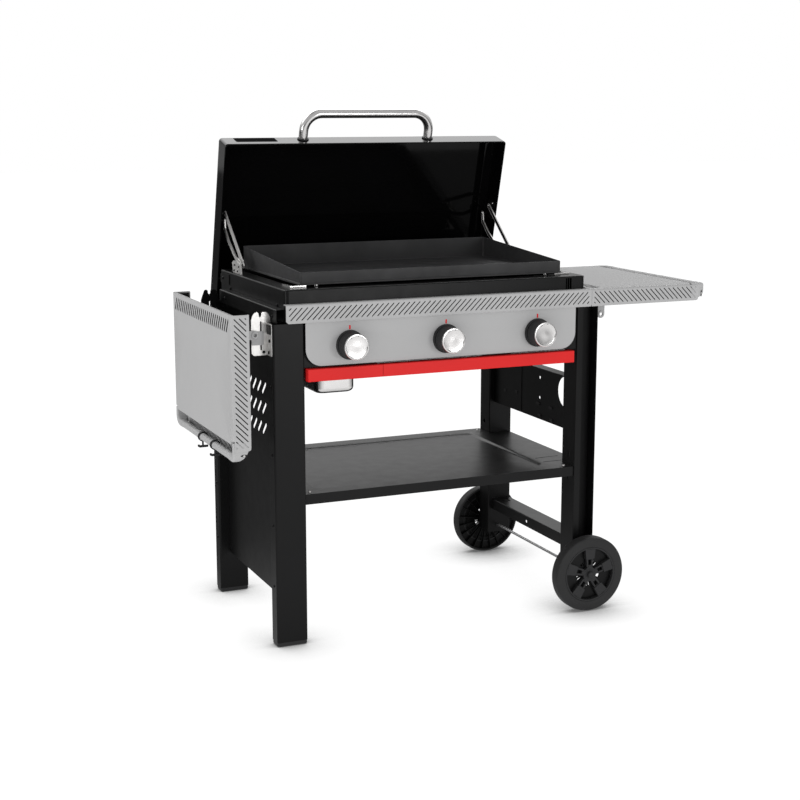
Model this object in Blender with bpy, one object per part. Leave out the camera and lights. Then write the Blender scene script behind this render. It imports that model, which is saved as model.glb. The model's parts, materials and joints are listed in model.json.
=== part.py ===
"""Flat-top gas grill on a two-wheeled cart, with a linked lid and two folding side shelves.

Metres, +Z up. X runs left to right, the control panel faces -Y. All driving sizes are cart
coordinates: X = 0 is the middle of the fire box. The cart's root empty then moves the whole
object so that the middle of its outer box stands on the world origin.
"""
import bpy
import bmesh
import math
from mathutils import Vector

# ---------------------------------------------------------------- driving dimensions
CENTRE_X, CENTRE_Y = 0.1115, 0.0627     # middle of the object's outer box, in cart coordinates
SHEET = 0.0015                          # sheet-metal thickness
GAP = 0.0003                            # clearance between touching solids

# cart
LEG_LEFT_X = (-0.4765, -0.391)          # outer and inner face of the left legs
LEG_RIGHT_X = 0.481                     # outer face of the right legs
LEG_FRONT_Y, LEG_REAR_Y = -0.255, 0.258 # forward faces of the front and rear legs
LEG_TOP = 0.8655
FOOT_HEIGHT = 0.012
SHELF_TOP = 0.410                       # lower shelf
WHEEL_RADIUS, WHEEL_WIDTH = 0.108, 0.038
RIM_RADIUS = 0.079
AXLE_X, AXLE_RADIUS = 0.438, 0.004
WHEEL_Y = (-0.303, 0.3445)               # middle planes of the two wheels

# fire box, griddle plate and front
BOX_X = 0.4405
BOX_Y = (-0.250, 0.315)
BOX_TOP = 0.952
PLATE_X = 0.3875
PLATE_Y = (-0.212, 0.272)
PLATE_BOTTOM, PLATE_FRONT_TOP, PLATE_REAR_TOP = 0.958, 0.9905, 1.021
FASCIA_Y = -0.270
FASCIA_Z = (0.867, 0.9155)
PANEL_Y = -0.262
TRIM_Z = (0.713, 0.746)
TRIM_SPLIT_X = -0.1775                  # joint between the drawer front and the fixed trim bar
KNOB_X = (-0.268, 0.0085, 0.285)
KNOB_Z = 0.803
KNOB_RADIUS = 0.034
KNOB_TRAVEL = 0.003

# lid and its linkage, in the Y-Z plane
LID_HALF_WIDTH, LID_DEPTH, LID_HEIGHT = 0.441, 0.550, 0.085
LID_OPEN_ANGLE = math.radians(-75)
LID_OPEN_RIM = Vector((0.237, 1.309))   # front rim edge when the lid is open
LID_PIN_REAR = Vector((0.240, 0.045))   # rear-link pin in the lid, from its front rim edge
LID_PIN_FRONT = Vector((0.210, 0.022))
BASE_PIN_REAR = Vector((0.1775, 0.9852))  # the same links' pins on the fire box
BASE_PIN_FRONT = Vector((0.1565, 0.9811))

# folding side shelves
SHELF_PIVOT_X, SHELF_PIVOT_Z = 0.5125, 0.836
SHELF_INNER, SHELF_OUTER = -0.0608, 0.322    # ends, outward from the pivot
SHELF_SHEET_END = 0.273                      # where the top sheet stops before the towel rail
SHELF_Y = (-0.270, 0.280)
TOWEL_RAIL_RADIUS = 0.0105


# ---------------------------------------------------------------- materials
def material(name, colour, roughness, metallic):
    made = bpy.data.materials.new(name)
    made.use_nodes = True
    shader = made.node_tree.nodes["Principled BSDF"]
    shader.inputs["Base Color"].default_value = (*colour, 1.0)
    shader.inputs["Roughness"].default_value = roughness
    shader.inputs["Metallic"].default_value = metallic
    return made


MATERIALS = {
    "black": ((0.018, 0.018, 0.019), 0.45, 0.0),
    "grey": ((0.45, 0.45, 0.45), 0.40, 0.0),
    "red": ((0.76, 0.028, 0.028), 0.30, 0.0),
    "plate": ((0.045, 0.045, 0.047), 0.55, 0.6),
    "gloss_black": ((0.006, 0.006, 0.007), 0.12, 0.0),
    "steel": ((0.62, 0.61, 0.60), 0.22, 1.0),
    "zinc": ((0.72, 0.71, 0.68), 0.35, 1.0),
    "brass": ((0.70, 0.50, 0.22), 0.35, 1.0),
    "plastic": ((0.05, 0.05, 0.052), 0.50, 0.0),
}


# ---------------------------------------------------------------- bodies and nodes
def empty(name, parent=None, location=(0, 0, 0), rotation=(0, 0, 0)):
    made = bpy.data.objects.new(name, None)
    bpy.context.scene.collection.objects.link(made)
    made.parent = parent
    made.location = location
    made.rotation_euler = rotation
    return made


def node(name, mesh, look, body):
    """One named sub-part; its mesh is in its body's own coordinates."""
    made = bpy.data.objects.new(name, mesh)
    bpy.context.scene.collection.objects.link(made)
    made.parent = body
    made.data.materials.append(material(name, *MATERIALS[look]))
    return made


def cutter(name, mesh, body):
    made = bpy.data.objects.new(name, mesh)
    bpy.context.scene.collection.objects.link(made)
    made.parent = body
    made.hide_render = True
    made.display_type = "WIRE"
    return made


def combine(target, tool, operation):
    change = target.modifiers.new(tool.name, "BOOLEAN")
    change.operation = operation
    change.solver = "EXACT"
    change.object = tool


def cut(target, *meshes):
    for number, mesh in enumerate(meshes):
        combine(target, cutter(f"{target.name}_cut_{number}", mesh, target.parent), "DIFFERENCE")


def join(target, *meshes):
    for number, mesh in enumerate(meshes):
        combine(target, cutter(f"{target.name}_join_{number}", mesh, target.parent), "UNION")


# ---------------------------------------------------------------- outlines
def rectangle(low, high):
    return [(low[0], low[1]), (high[0], low[1]), (high[0], high[1]), (low[0], high[1])]


def arc(centre, radius, start, end, steps):
    """Points on an arc; angles in degrees, counter-clockwise when end is larger."""
    points = []
    for step in range(steps + 1):
        angle = math.radians(start + (end - start) * step / steps)
        points.append((centre[0] + radius * math.cos(angle), centre[1] + radius * math.sin(angle)))
    return points


def rounded_rectangle(low, high, radii, steps=4):
    """Counter-clockwise, with a radius for each corner: low-low, high-low, high-high, low-high."""
    corners = rectangle(low, high)
    signs = ((1, 1), (-1, 1), (-1, -1), (1, -1))
    points = []
    for index, (corner, sign, radius) in enumerate(zip(corners, signs, radii)):
        centre = (corner[0] + sign[0] * radius, corner[1] + sign[1] * radius)
        start = 180 + 90 * index
        points += arc(centre, radius, start, start + 90, steps)
    return points


def inset(outline, distance):
    """Moves every side of a counter-clockwise outline inwards."""
    points = []
    count = len(outline)
    for index in range(count):
        before, here, after = (Vector(outline[(index + shift) % count]) for shift in (-1, 0, 1))
        normals = []
        for start, end in ((before, here), (here, after)):
            side = (end - start).normalized()
            normals.append(Vector((-side.y, side.x)))
        middle = (normals[0] + normals[1]).normalized()
        points.append(tuple(here + middle * (distance / middle.dot(normals[0]))))
    return points


def bent_sheet(path, thickness=SHEET):
    """Outline of a sheet bent along an open path, its thickness on the path's left."""
    inner = []
    for index, here in enumerate(path):
        sides = []
        if index > 0:
            sides.append((Vector(here) - Vector(path[index - 1])).normalized())
        if index < len(path) - 1:
            sides.append((Vector(path[index + 1]) - Vector(here)).normalized())
        normals = [Vector((-side.y, side.x)) for side in sides]
        middle = sum(normals, Vector((0, 0))).normalized()
        inner.append(tuple(Vector(here) + middle * (thickness / middle.dot(normals[0]))))
    return list(path) + inner[::-1]


def stadium(start, end, radius, steps=6):
    """A bar with round ends."""
    start, end = Vector(start), Vector(end)
    heading = math.degrees(math.atan2(end.y - start.y, end.x - start.x))
    return (arc(end, radius, heading - 90, heading + 90, steps)
            + arc(start, radius, heading + 90, heading + 270, steps))


# ---------------------------------------------------------------- meshes
def spot(axis, across, up, along):
    """A point of an outline: axis is the direction it is extruded in."""
    if axis == "X":
        return (along, across, up)
    if axis == "Y":
        return (across, along, up)
    return (across, up, along)


def stack(loops):
    """Closed body through loops of the same length; the first and last loop are capped."""
    shape = bmesh.new()
    rings = [[shape.verts.new(point) for point in loop] for loop in loops]
    count = len(rings[0])
    for lower, upper in zip(rings, rings[1:]):
        for index in range(count):
            after = (index + 1) % count
            shape.faces.new((lower[index], lower[after], upper[after], upper[index]))
    shape.faces.new(rings[0])
    shape.faces.new(rings[-1])
    return finish(shape)


def finish(shape):
    bmesh.ops.recalc_face_normals(shape, faces=shape.faces)
    mesh = bpy.data.meshes.new("shape")
    shape.to_mesh(mesh)
    shape.free()
    mesh.shade_smooth()
    mesh.set_sharp_from_angle(angle=math.radians(32))
    return mesh


def prism(outline, axis, low, high):
    return stack([[spot(axis, a, b, along) for a, b in outline] for along in (low, high)])


def block(low, high):
    return prism(rectangle(low[:2], high[:2]), "Z", low[2], high[2])


def rod(centre, radius, axis, low, high, sides=16):
    return prism(arc(centre, radius, 0, 360 - 360 / sides, sides - 1), axis, low, high)


def open_tube(outline, wall, axis, low, high):
    """A tube of any closed section, open at both ends."""
    inner = inset(outline, wall)
    shape = bmesh.new()
    rings = []
    for points, along in ((outline, low), (outline, high), (inner, high), (inner, low)):
        rings.append([shape.verts.new(spot(axis, a, b, along)) for a, b in points])
    count = len(outline)
    for index, ring in enumerate(rings):
        following = rings[(index + 1) % len(rings)]
        for corner in range(count):
            after = (corner + 1) % count
            shape.faces.new((ring[corner], ring[after], following[after], following[corner]))
    return finish(shape)


def tray(outline, top, depth, wall=SHEET):
    """A sheet with downturned sides, open underneath."""
    inner = inset(outline, wall)
    levels = ((outline, top), (outline, top - depth), (inner, top - depth), (inner, top - wall))
    return stack([[(a, b, level) for a, b in points] for points, level in levels])


def cup(outline, bottom, top, wall, lip=0.0):
    """An open-topped vessel, with an optional outward lip."""
    inner = inset(outline, wall)
    levels = [(outline, bottom)]
    if lip:
        wide = inset(outline, -lip)
        levels += [(outline, top - wall), (wide, top - wall), (wide, top)]
    else:
        levels += [(outline, top)]
    levels += [(inner, top), (inner, bottom + wall)]
    return stack([[(a, b, level) for a, b in points] for points, level in levels])


def lathe(profile, sides=32):
    """Turns (radius, y) points about the Y axis; a profile that misses the axis makes a ring."""
    shape = bmesh.new()
    rings = []
    for radius, along in profile:
        if radius == 0:
            rings.append([shape.verts.new((0, along, 0))])
            continue
        points = arc((0, 0), radius, 0, 360 - 360 / sides, sides - 1)
        rings.append([shape.verts.new((x, along, z)) for x, z in points])
    on_axis = profile[0][0] == 0 and profile[-1][0] == 0
    pairs = list(zip(rings, rings[1:]))
    if not on_axis:
        pairs.append((rings[-1], rings[0]))
    for first, second in pairs:
        for index in range(sides):
            after = (index + 1) % sides
            corners = [first[index % len(first)], first[after % len(first)],
                       second[after % len(second)], second[index % len(second)]]
            shape.faces.new(list(dict.fromkeys(corners)))
    return finish(shape)


# ---------------------------------------------------------------- cart
def build_legs(cart):
    left_low, left_high = LEG_LEFT_X
    for side, front in (("front", LEG_FRONT_Y), ("rear", LEG_REAR_Y)):
        section = rectangle((left_low, front), (left_high, front + 0.045))
        node(f"leg_{side}_left", open_tube(section, SHEET, "Z", FOOT_HEIGHT + GAP, LEG_TOP),
             "black", cart)
        foot = inset(section, 0.001)
        node(f"foot_{side}_left", prism(foot, "Z", 0, FOOT_HEIGHT), "plastic", cart)

    bottom, lip = 0.085, 0.0185
    for side, sign, face, depth, inner in (("front", 1, LEG_FRONT_Y, 0.072, 0.4155),
                                           ("rear", -1, LEG_REAR_Y + 0.064, 0.064, 0.405)):
        back = face + sign * depth
        path = [(inner + lip, face), (inner, face), (inner, back),
                (LEG_RIGHT_X, back), (LEG_RIGHT_X, face)]
        leg = node(f"leg_{side}_right", prism(bent_sheet(path, -sign * SHEET), "Z", bottom, LEG_TOP),
                   "black", cart)
        cut(leg, rod((AXLE_X, WHEEL_RADIUS), AXLE_RADIUS + 0.0006, "Y", face - 0.1, face + 0.1))


def build_frame(cart):
    panel_x, panel_bottom = -0.4462, 0.122
    outline = rectangle((LEG_FRONT_Y + 0.0453, panel_bottom), (LEG_REAR_Y - GAP, LEG_TOP))
    node("end_panel", prism(outline, "X", panel_x, panel_x + SHEET), "black", cart)

    left, rear = LEG_LEFT_X[1] + GAP, 0.325
    outline = [(left, -0.250), (0.4152, -0.250), (0.4152, -0.1827), (0.4705, -0.1827),
               (0.4705, 0.2577), (0.4047, 0.2577), (0.4047, rear), (left, rear)]
    node("lower_shelf", tray(outline, SHELF_TOP, 0.028), "black", cart)

    low, high = (-0.1827, 0.505), (0.2577, 0.657)
    notch = arc((low[0], 0.611), 0.045, 90, -90, 10)
    outline = [(low[0], high[1])] + notch + [low, (high[0], low[1]), high]
    plate_x = 0.424
    bracket = node("tank_bracket", prism(outline, "X", plate_x, plate_x + SHEET), "black", cart)
    join(bracket, block((plate_x + 0.0005, low[0], high[1] - SHEET), (plate_x + 0.035, high[0], high[1])))

    path = [(0.4785, 0.194), (0.4185, 0.194), (0.4185, 0.161)]
    section = bent_sheet(path)
    bar = node("lower_crossbar", prism(section, "Y", low[0], high[0]), "black", cart)
    cut(bar, rod((0.03, 0.177), 0.004, "X", 0.40, 0.43, 12))

    path = [(-0.228, 0.860), (-0.250, 0.860), (-0.250, 0.748), (-0.228, 0.748)]
    rail = node("front_rail", prism(bent_sheet(path), "X", left, 0.4152), "black", cart)
    cut(rail, *(rod((x, KNOB_Z), 0.008, "Y", -0.26, -0.24, 12) for x in KNOB_X))

    path = [(0.280, 0.800), (0.302, 0.800), (0.302, 0.760), (0.280, 0.760)]
    node("rear_rail", prism(bent_sheet(path, -SHEET), "X", left, 0.4047), "black", cart)


def build_wheels(cart):
    ends = (WHEEL_Y[0] - 0.0265, WHEEL_Y[1] + 0.0265)
    node("axle", rod((AXLE_X, WHEEL_RADIUS), AXLE_RADIUS, "Y", *ends), "zinc", cart)
    half = WHEEL_WIDTH / 2
    rim = RIM_RADIUS - GAP
    for side, along in zip(("front", "rear"), WHEEL_Y):
        body = empty(f"wheel_{side}_axis", cart, (AXLE_X, along, WHEEL_RADIUS))
        bore = AXLE_RADIUS + 0.00005
        outward = -1 if side == "front" else 1
        disc = [(bore, -half), (0.020, -half), (0.022, -half + 0.012), (0.066, -half + 0.012),
                (0.070, -half + 0.003), (rim, -half + 0.003), (rim, half - 0.003),
                (0.070, half - 0.003), (0.066, half - 0.012), (0.022, half - 0.012),
                (0.020, half), (bore, half)]
        wheel = node(f"wheel_{side}", lathe(disc, 40), "plastic", body)
        windows = []
        for number in range(5):
            middle = 90 + 36 + 72 * number
            window = arc((0, 0), 0.062, middle - 22, middle + 22, 4)
            window += arc((0, 0), 0.028, middle + 14, middle - 14, 2)
            windows.append(prism(window, "Y", -half, half))
        cut(wheel, *windows)
        shoulder = 0.006
        tread = [(RIM_RADIUS, -half + 0.002), (WHEEL_RADIUS - shoulder, -half),
                 (WHEEL_RADIUS, -half + shoulder), (WHEEL_RADIUS, half - shoulder),
                 (WHEEL_RADIUS - shoulder, half), (RIM_RADIUS, half - 0.002)]
        tyre = lathe([(radius, outward * y) for radius, y in tread], 48)
        node(f"tyre_{side}", tyre, "plastic", body)


# ---------------------------------------------------------------- fire box and gas parts
def build_firebox(cart):
    half, front, rear = BOX_X, BOX_Y[0], BOX_Y[1]
    tub = rectangle((-0.385, -0.185), (0.385, 0.250))
    rim = rectangle((-half, front), (half, rear))
    mouth = rectangle((-0.395, -0.190), (0.395, 0.255))
    step, floor = LEG_TOP + GAP, 0.775
    levels = [(tub, floor), (tub, step), (rim, step), (rim, BOX_TOP), (mouth, BOX_TOP),
              (mouth, BOX_TOP - SHEET), (inset(rim, SHEET), BOX_TOP - SHEET),
              (inset(rim, SHEET), step + SHEET), (inset(tub, SHEET), step + SHEET),
              (inset(tub, SHEET), floor + SHEET)]
    loops = [[(a, b, level) for a, b in points] for points, level in levels]
    firebox = node("firebox", stack(loops), "black", cart)
    cut(firebox, *(rod((x, KNOB_Z), 0.0145, "Y", -0.20, -0.17) for x in KNOB_X))

    outer = rectangle((-PLATE_X, PLATE_Y[0]), (PLATE_X, PLATE_Y[1]))
    inner = inset(outer, 0.003)
    slope = (PLATE_REAR_TOP - PLATE_FRONT_TOP) / (PLATE_Y[1] - PLATE_Y[0])
    loops = []
    for points, height in ((outer, None), (outer, "rim"), (inner, "rim"), (inner, 0.963)):
        loop = []
        for x, y in points:
            level = PLATE_FRONT_TOP + slope * (y - PLATE_Y[0]) if height == "rim" else height
            loop.append((x, y, level or PLATE_BOTTOM))
        loops.append(loop)
    plate = node("griddle_plate", stack(loops), "plate", cart)
    join(plate, *(rod((x, y), 0.006, "Z", BOX_TOP + GAP, PLATE_BOTTOM + 0.001, 10)
                  for x in (-0.338, 0.338) for y in (-0.203, 0.264)))


def build_gas(cart):
    manifold_y, radius = -0.215, 0.0095
    manifold = node("gas_manifold", rod((manifold_y, KNOB_Z), radius, "X", -0.33, 0.36), "zinc", cart)
    fitting = rod((manifold_y, KNOB_Z), 0.013, "X", 0.350, 0.385, 6)
    join(manifold, fitting,
         *(rod((x, KNOB_Z), 0.011, "Y", -0.229, manifold_y + 0.001) for x in KNOB_X),
         *(rod((x, KNOB_Z), 0.005, "Y", manifold_y, -0.197, 12) for x in KNOB_X))

    for name, x in zip(("left", "middle", "right"), KNOB_X):
        burner = [(0, 0.235), (0.014, 0.235), (0.014, -0.199), (0.0128, -0.199),
                  (0.0128, 0.2335), (0, 0.2335)]
        node(f"burner_{name}", lathe(burner, 16), "steel", empty(f"burner_{name}_place", cart,
                                                                (x, 0, KNOB_Z)))
        front = empty(f"knob_{name}_axis", cart, (x, PANEL_Y, KNOB_Z))
        stem = rod((0, 0), 0.004, "Y", -0.028, 0.0295, 12)
        node(f"valve_stem_{name}", stem, "brass", front)
        bezel = [(0.016, -GAP), (0.016, -0.0078), (0.0365, -0.0078), (0.039, -0.005), (0.039, -GAP)]
        node(f"bezel_{name}", lathe(bezel), "plastic", front)
        back = -0.0078 - KNOB_TRAVEL - GAP
        knob = [(0, -0.0285), (0.0043, -0.0285), (0.0043, back), (0.035, back), (0.036, back - 0.004),
                (KNOB_RADIUS, -0.046), (KNOB_RADIUS - 0.003, -0.050), (0, -0.050)]
        node(f"knob_{name}", lathe(knob), "plastic", front)


def build_front(cart):
    y, low, high = FASCIA_Y, FASCIA_Z[0], FASCIA_Z[1]
    path = [(BOX_Y[0] - GAP, high), (y, high), (y, low), (-0.2565, low)]
    node("fascia_strip", prism(bent_sheet(path), "X", -0.445, 0.451), "grey", cart)

    outline = rounded_rectangle((-0.390, 0.752), (0.405, low - GAP), (0.045, 0.045, 0.002, 0.002), 6)
    panel = node("control_panel", prism(outline, "Y", PANEL_Y, PANEL_Y + SHEET), "grey", cart)
    cut(panel, *(rod((x, KNOB_Z), 0.006, "Y", PANEL_Y - 0.01, PANEL_Y + 0.01, 12) for x in KNOB_X))

    bottom, top = TRIM_Z
    channel = bent_sheet([(-0.240, top), (y, top), (y, bottom), (-0.240, bottom)])
    node("trim_bar", prism(channel, "X", TRIM_SPLIT_X + 0.0005, 0.399), "red", cart)


def build_drawer(cart):
    drawer = empty("drawer_slide", cart)
    bottom, top = TRIM_Z
    channel = bent_sheet([(-0.240, top), (FASCIA_Y, top), (FASCIA_Y, bottom), (-0.240, bottom)])
    node("drawer_front", prism(channel, "X", -0.387, TRIM_SPLIT_X - 0.0005), "red", drawer)

    low, high, floor = (-0.372, -0.2397), (-0.192, 0.100), 0.7185
    box = node("grease_tray", cup(rectangle(low, high), floor, 0.742, SHEET), "black", drawer)
    cup_low, cup_high = (-0.352, -0.2345), (-0.241, -0.100)
    hole = rectangle((cup_low[0] - GAP, cup_low[1] - GAP), (cup_high[0] + GAP, cup_high[1] + GAP))
    cut(box, prism(hole, "Z", floor - 0.01, floor + 0.01))
    outline = rounded_rectangle(cup_low, cup_high, (0.014,) * 4, 4)
    node("catch_cup", cup(outline, 0.672, floor + 0.0035, 0.001, 0.003), "steel", drawer)

    for name, outer, sign in (("left", -0.3862, 1), ("right", -0.1778, -1)):
        path = [(outer, 0.7747), (outer, 0.7165), (outer + sign * 0.020, 0.7165)]
        node(f"drawer_rail_{name}", prism(bent_sheet(path, sign * SHEET), "Y", -0.227, 0.12),
             "zinc", cart)


# ---------------------------------------------------------------- lid and linkage
def lid_point(local):
    """Where a point of the lid lies in the Y-Z plane when the lid is open."""
    cos, sin = math.cos(LID_OPEN_ANGLE), math.sin(LID_OPEN_ANGLE)
    return LID_OPEN_RIM + Vector((local.x * cos - local.y * sin, local.x * sin + local.y * cos))


def build_lid(cart):
    pin = lid_point(LID_PIN_REAR)
    lid = empty("lid_axis", cart, (0, pin.x, pin.y), (LID_OPEN_ANGLE, 0, 0))
    start, base = -LID_PIN_REAR.x, -LID_PIN_REAR.y
    corner, round_edge = 0.008, 0.028
    outer_low, outer_high = (-LID_HALF_WIDTH, start), (LID_HALF_WIDTH, start + LID_DEPTH)
    def shrunk(inward, level):
        x_low, y_low = outer_low[0] + inward, outer_low[1] + inward
        x_high, y_high = outer_high[0] - inward, outer_high[1] - inward
        return [(x, y, level) for x, y in
                rounded_rectangle((x_low, y_low), (x_high, y_high), (corner,) * 4, 3)]

    def levels(wall):
        loops = [shrunk(wall, base)]
        for step in range(5):
            angle = math.radians(22.5 * step)
            inward = wall + (round_edge - wall) * (1 - math.cos(angle))
            height = LID_HEIGHT - round_edge + (round_edge - wall) * math.sin(angle)
            loops.append(shrunk(inward, base + height))
        return loops

    node("lid_shell", stack(levels(SHEET)[::-1] + levels(0.0)), "gloss_black", lid)

    reach, radius, bend, grip_x = 0.077, 0.0125, 0.050, 0.195
    rise = base + 0.040
    path = [(-grip_x, start - GAP)]
    path += [(x, y) for x, y in arc((-grip_x + bend, start - reach + bend), bend, 180, 270, 8)]
    path += [(x, y) for x, y in arc((grip_x - bend, start - reach + bend), bend, 270, 360, 8)]
    path += [(grip_x, start - GAP)]
    curve = bpy.data.curves.new("lid_handle", "CURVE")
    curve.dimensions = "3D"
    curve.bevel_depth = radius
    curve.bevel_resolution = 3
    curve.use_fill_caps = True
    spline = curve.splines.new("POLY")
    spline.points.add(len(path) - 1)
    for point, (x, y) in zip(spline.points, path):
        point.co = (x, y, rise, 1)
    node("lid_handle", curve, "steel", lid)

    plate_low, plate_high, pin_radius = 0.4358, 0.4386, 0.003
    front_pin = LID_PIN_FRONT - LID_PIN_REAR
    outline = rounded_rectangle((front_pin.x - 0.012, front_pin.y - 0.012), (0.012, 0.009),
                                (0.010, 0.010, 0.005, 0.005), 3)
    for name, sign in (("left", -1), ("right", 1)):
        bracket = node(f"lid_bracket_{name}", prism(outline, "X", sign * plate_low, sign * plate_high),
                       "black", lid)
        join(bracket, rod((0, 0), pin_radius, "X", sign * 0.4125, sign * (plate_low + 0.001), 10),
             rod(front_pin, pin_radius, "X", sign * 0.4252, sign * (plate_low + 0.001), 10))


def build_links(cart):
    radius, hole, pin_radius = 0.0055, 0.0033, 0.003
    layers = {"rear": (0.4140, 0.4180, BASE_PIN_REAR, LID_PIN_REAR),
              "front": (0.4205, 0.4245, BASE_PIN_FRONT, LID_PIN_FRONT)}
    for kind, (low, high, base, top) in layers.items():
        body = empty(f"{kind}_links_axis", cart, (0, base.x, base.y))
        reach = lid_point(top) - base
        for name, sign in (("left", -1), ("right", 1)):
            link = node(f"lid_{kind}_link_{name}", prism(stadium((0, 0), reach, radius), "X",
                                                         sign * low, sign * high), "steel", body)
            cut(link, *(rod(spot_, hole, "X", sign * (low - 0.002), sign * (high + 0.002), 10)
                        for spot_ in ((0, 0), reach)))

    low, high = 0.4290, 0.4320
    outline = [(0.141, BOX_TOP + GAP), (0.215, BOX_TOP + GAP), (0.209, 0.974)]
    outline += arc(BASE_PIN_REAR, 0.009, 10, 90, 4) + arc(BASE_PIN_FRONT, 0.009, 100, 180, 4)
    for name, sign in (("left", -1), ("right", 1)):
        bracket = node(f"firebox_hinge_{name}", prism(outline, "X", sign * low, sign * high),
                       "zinc", cart)
        join(bracket, rod(BASE_PIN_REAR, pin_radius, "X", sign * 0.4125, sign * (low + 0.001), 10),
             rod(BASE_PIN_FRONT, pin_radius, "X", sign * 0.4190, sign * (low + 0.001), 10))


# ---------------------------------------------------------------- folding side shelves
def build_shelf(cart, name, sign, folded):
    """A shelf on its hinge; sign is its side, folded swings it straight down."""
    swing = sign * math.radians(90) if folded else 0
    shelf = empty(f"shelf_{name}_axis", cart, (sign * SHELF_PIVOT_X, 0, SHELF_PIVOT_Z), (0, swing, 0))
    top = FASCIA_Z[1] - SHELF_PIVOT_Z
    depth = FASCIA_Z[1] - FASCIA_Z[0]
    corner, small = 0.032, 0.003
    outline = rounded_rectangle((SHELF_INNER, SHELF_Y[0]), (SHELF_OUTER, SHELF_Y[1]),
                                (small, corner, corner, small), 5)
    sheet = tray(outline, top, depth)
    end = 0.045
    window = block((SHELF_SHEET_END, SHELF_Y[0] + end, top - 0.1),
                   (SHELF_OUTER + 0.01, SHELF_Y[1] - end, top + 0.1))
    lugs = []
    lug = stadium((0, 0), (0, 0.045), 0.014)
    lug_y = (-0.2185, 0.2500)
    for along in lug_y:
        lugs.append(prism(lug, "Y", along, along + 0.003))
        lugs.append(prism(rectangle((-0.030, 0.040), (0.030, top - 0.0007)), "Y", along, along + 0.003))
    section = arc((SHELF_OUTER - TOWEL_RAIL_RADIUS, top - TOWEL_RAIL_RADIUS), TOWEL_RAIL_RADIUS,
                  0, 342, 19)
    rail = open_tube(section, SHEET, "Y", SHELF_Y[0] + end + GAP, SHELF_Y[1] - end - GAP)
    holes = [rod((0, 0), 0.0047, "Y", along - 0.002, along + 0.005, 12) for along in lug_y]
    meshes = [sheet, window, rail, *lugs, *holes]
    for mesh in meshes:
        if sign < 0:
            mirror_x(mesh)
    board = node(f"shelf_{name}", sheet, "grey", shelf)
    cut(board, window)
    for number, mesh in enumerate(lugs):
        combine(board, cutter(f"shelf_{name}_lug_{number}", mesh, shelf), "UNION")
    for number, mesh in enumerate(holes):
        combine(board, cutter(f"shelf_{name}_hole_{number}", mesh, shelf), "DIFFERENCE")
    node(f"towel_rail_{name}", rail, "grey", shelf)
    return shelf, top


def mirror_x(mesh):
    for vertex in mesh.vertices:
        vertex.co.x = -vertex.co.x
    mesh.flip_normals()


def build_shelf_brackets(cart):
    low_z, high_z, outer = 0.780, 0.895, 0.530
    for name, sign, leg in (("left", -1, -LEG_LEFT_X[0]), ("right", 1, LEG_RIGHT_X)):
        for end, plate_y, flange, direction, look in (("front", -0.2125, -0.250, -1, "zinc"),
                                                      ("rear", 0.2440, 0.300, 1, "black")):
            inner = leg + GAP
            outline = rounded_rectangle((inner, low_z), (outer, high_z), (0.004, 0.012, 0.016, 0.016), 4)
            outline = [(sign * a, b) for a, b in outline]
            plate = node(f"shelf_bracket_{end}_{name}", prism(outline, "Y", plate_y, plate_y + 0.0025),
                         look, cart)
            edges = sorted((plate_y + 0.001, flange))
            sides = sorted((sign * inner, sign * (inner + 0.002)))
            pin_y = (plate_y - 0.010, plate_y + 0.001) if end == "front" else (plate_y + 0.001,
                                                                              plate_y + 0.012)
            join(plate, block((sides[0], edges[0], low_z + 0.004), (sides[1], edges[1], high_z - 0.030)),
                 rod((sign * SHELF_PIVOT_X, SHELF_PIVOT_Z), 0.004, "Y", *pin_y, 10))


def build_hooks(shelf, top):
    """Two rings on the left towel rail, each with a peg."""
    ring_inner, ring_outer, width, peg = TOWEL_RAIL_RADIUS + 0.0003, 0.0165, 0.008, 0.003
    centre = (-(SHELF_OUTER - TOWEL_RAIL_RADIUS), top - TOWEL_RAIL_RADIUS)
    for name, along in (("front", -0.069), ("rear", 0.046)):
        ring = arc(centre, ring_outer, 0, 345, 23)
        hook = node(f"hook_{name}", prism(ring, "Y", along - width / 2, along + width / 2),
                    "plastic", shelf)
        stem = (centre[0] - ring_outer - 0.004, centre[1])
        join(hook, rod(stem, peg, "Y", along - peg, along + peg, 12),
             prism(rectangle((stem[0] - peg, centre[1] - 0.002), (centre[0] - ring_outer + 0.002,
                                                                 centre[1] + 0.030)),
                   "Y", along - peg, along + peg))
        cut(hook, rod(centre, ring_inner, "Y", along - width, along + width, 24))


def main():
    for old in list(bpy.data.objects):
        bpy.data.objects.remove(old)
    cart = empty("cart_origin", None, (-CENTRE_X, -CENTRE_Y, 0))
    build_legs(cart)
    build_frame(cart)
    build_wheels(cart)
    build_firebox(cart)
    build_gas(cart)
    build_front(cart)
    build_drawer(cart)
    build_lid(cart)
    build_links(cart)
    left_shelf, shelf_top = build_shelf(cart, "left", -1, True)
    build_shelf(cart, "right", 1, False)
    build_shelf_brackets(cart)
    build_hooks(left_shelf, shelf_top)


main()
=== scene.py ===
"""Looks of the flat-top gas grill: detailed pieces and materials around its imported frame.

Metres, +Z up. Places come from the frame's boxes and joints. The handful of lengths named here
are details that the frame doesn't hold: bend radii, slots, screws and marks.
"""
import bpy
import bmesh
import json
import math
from mathutils import Matrix, Vector


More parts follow.
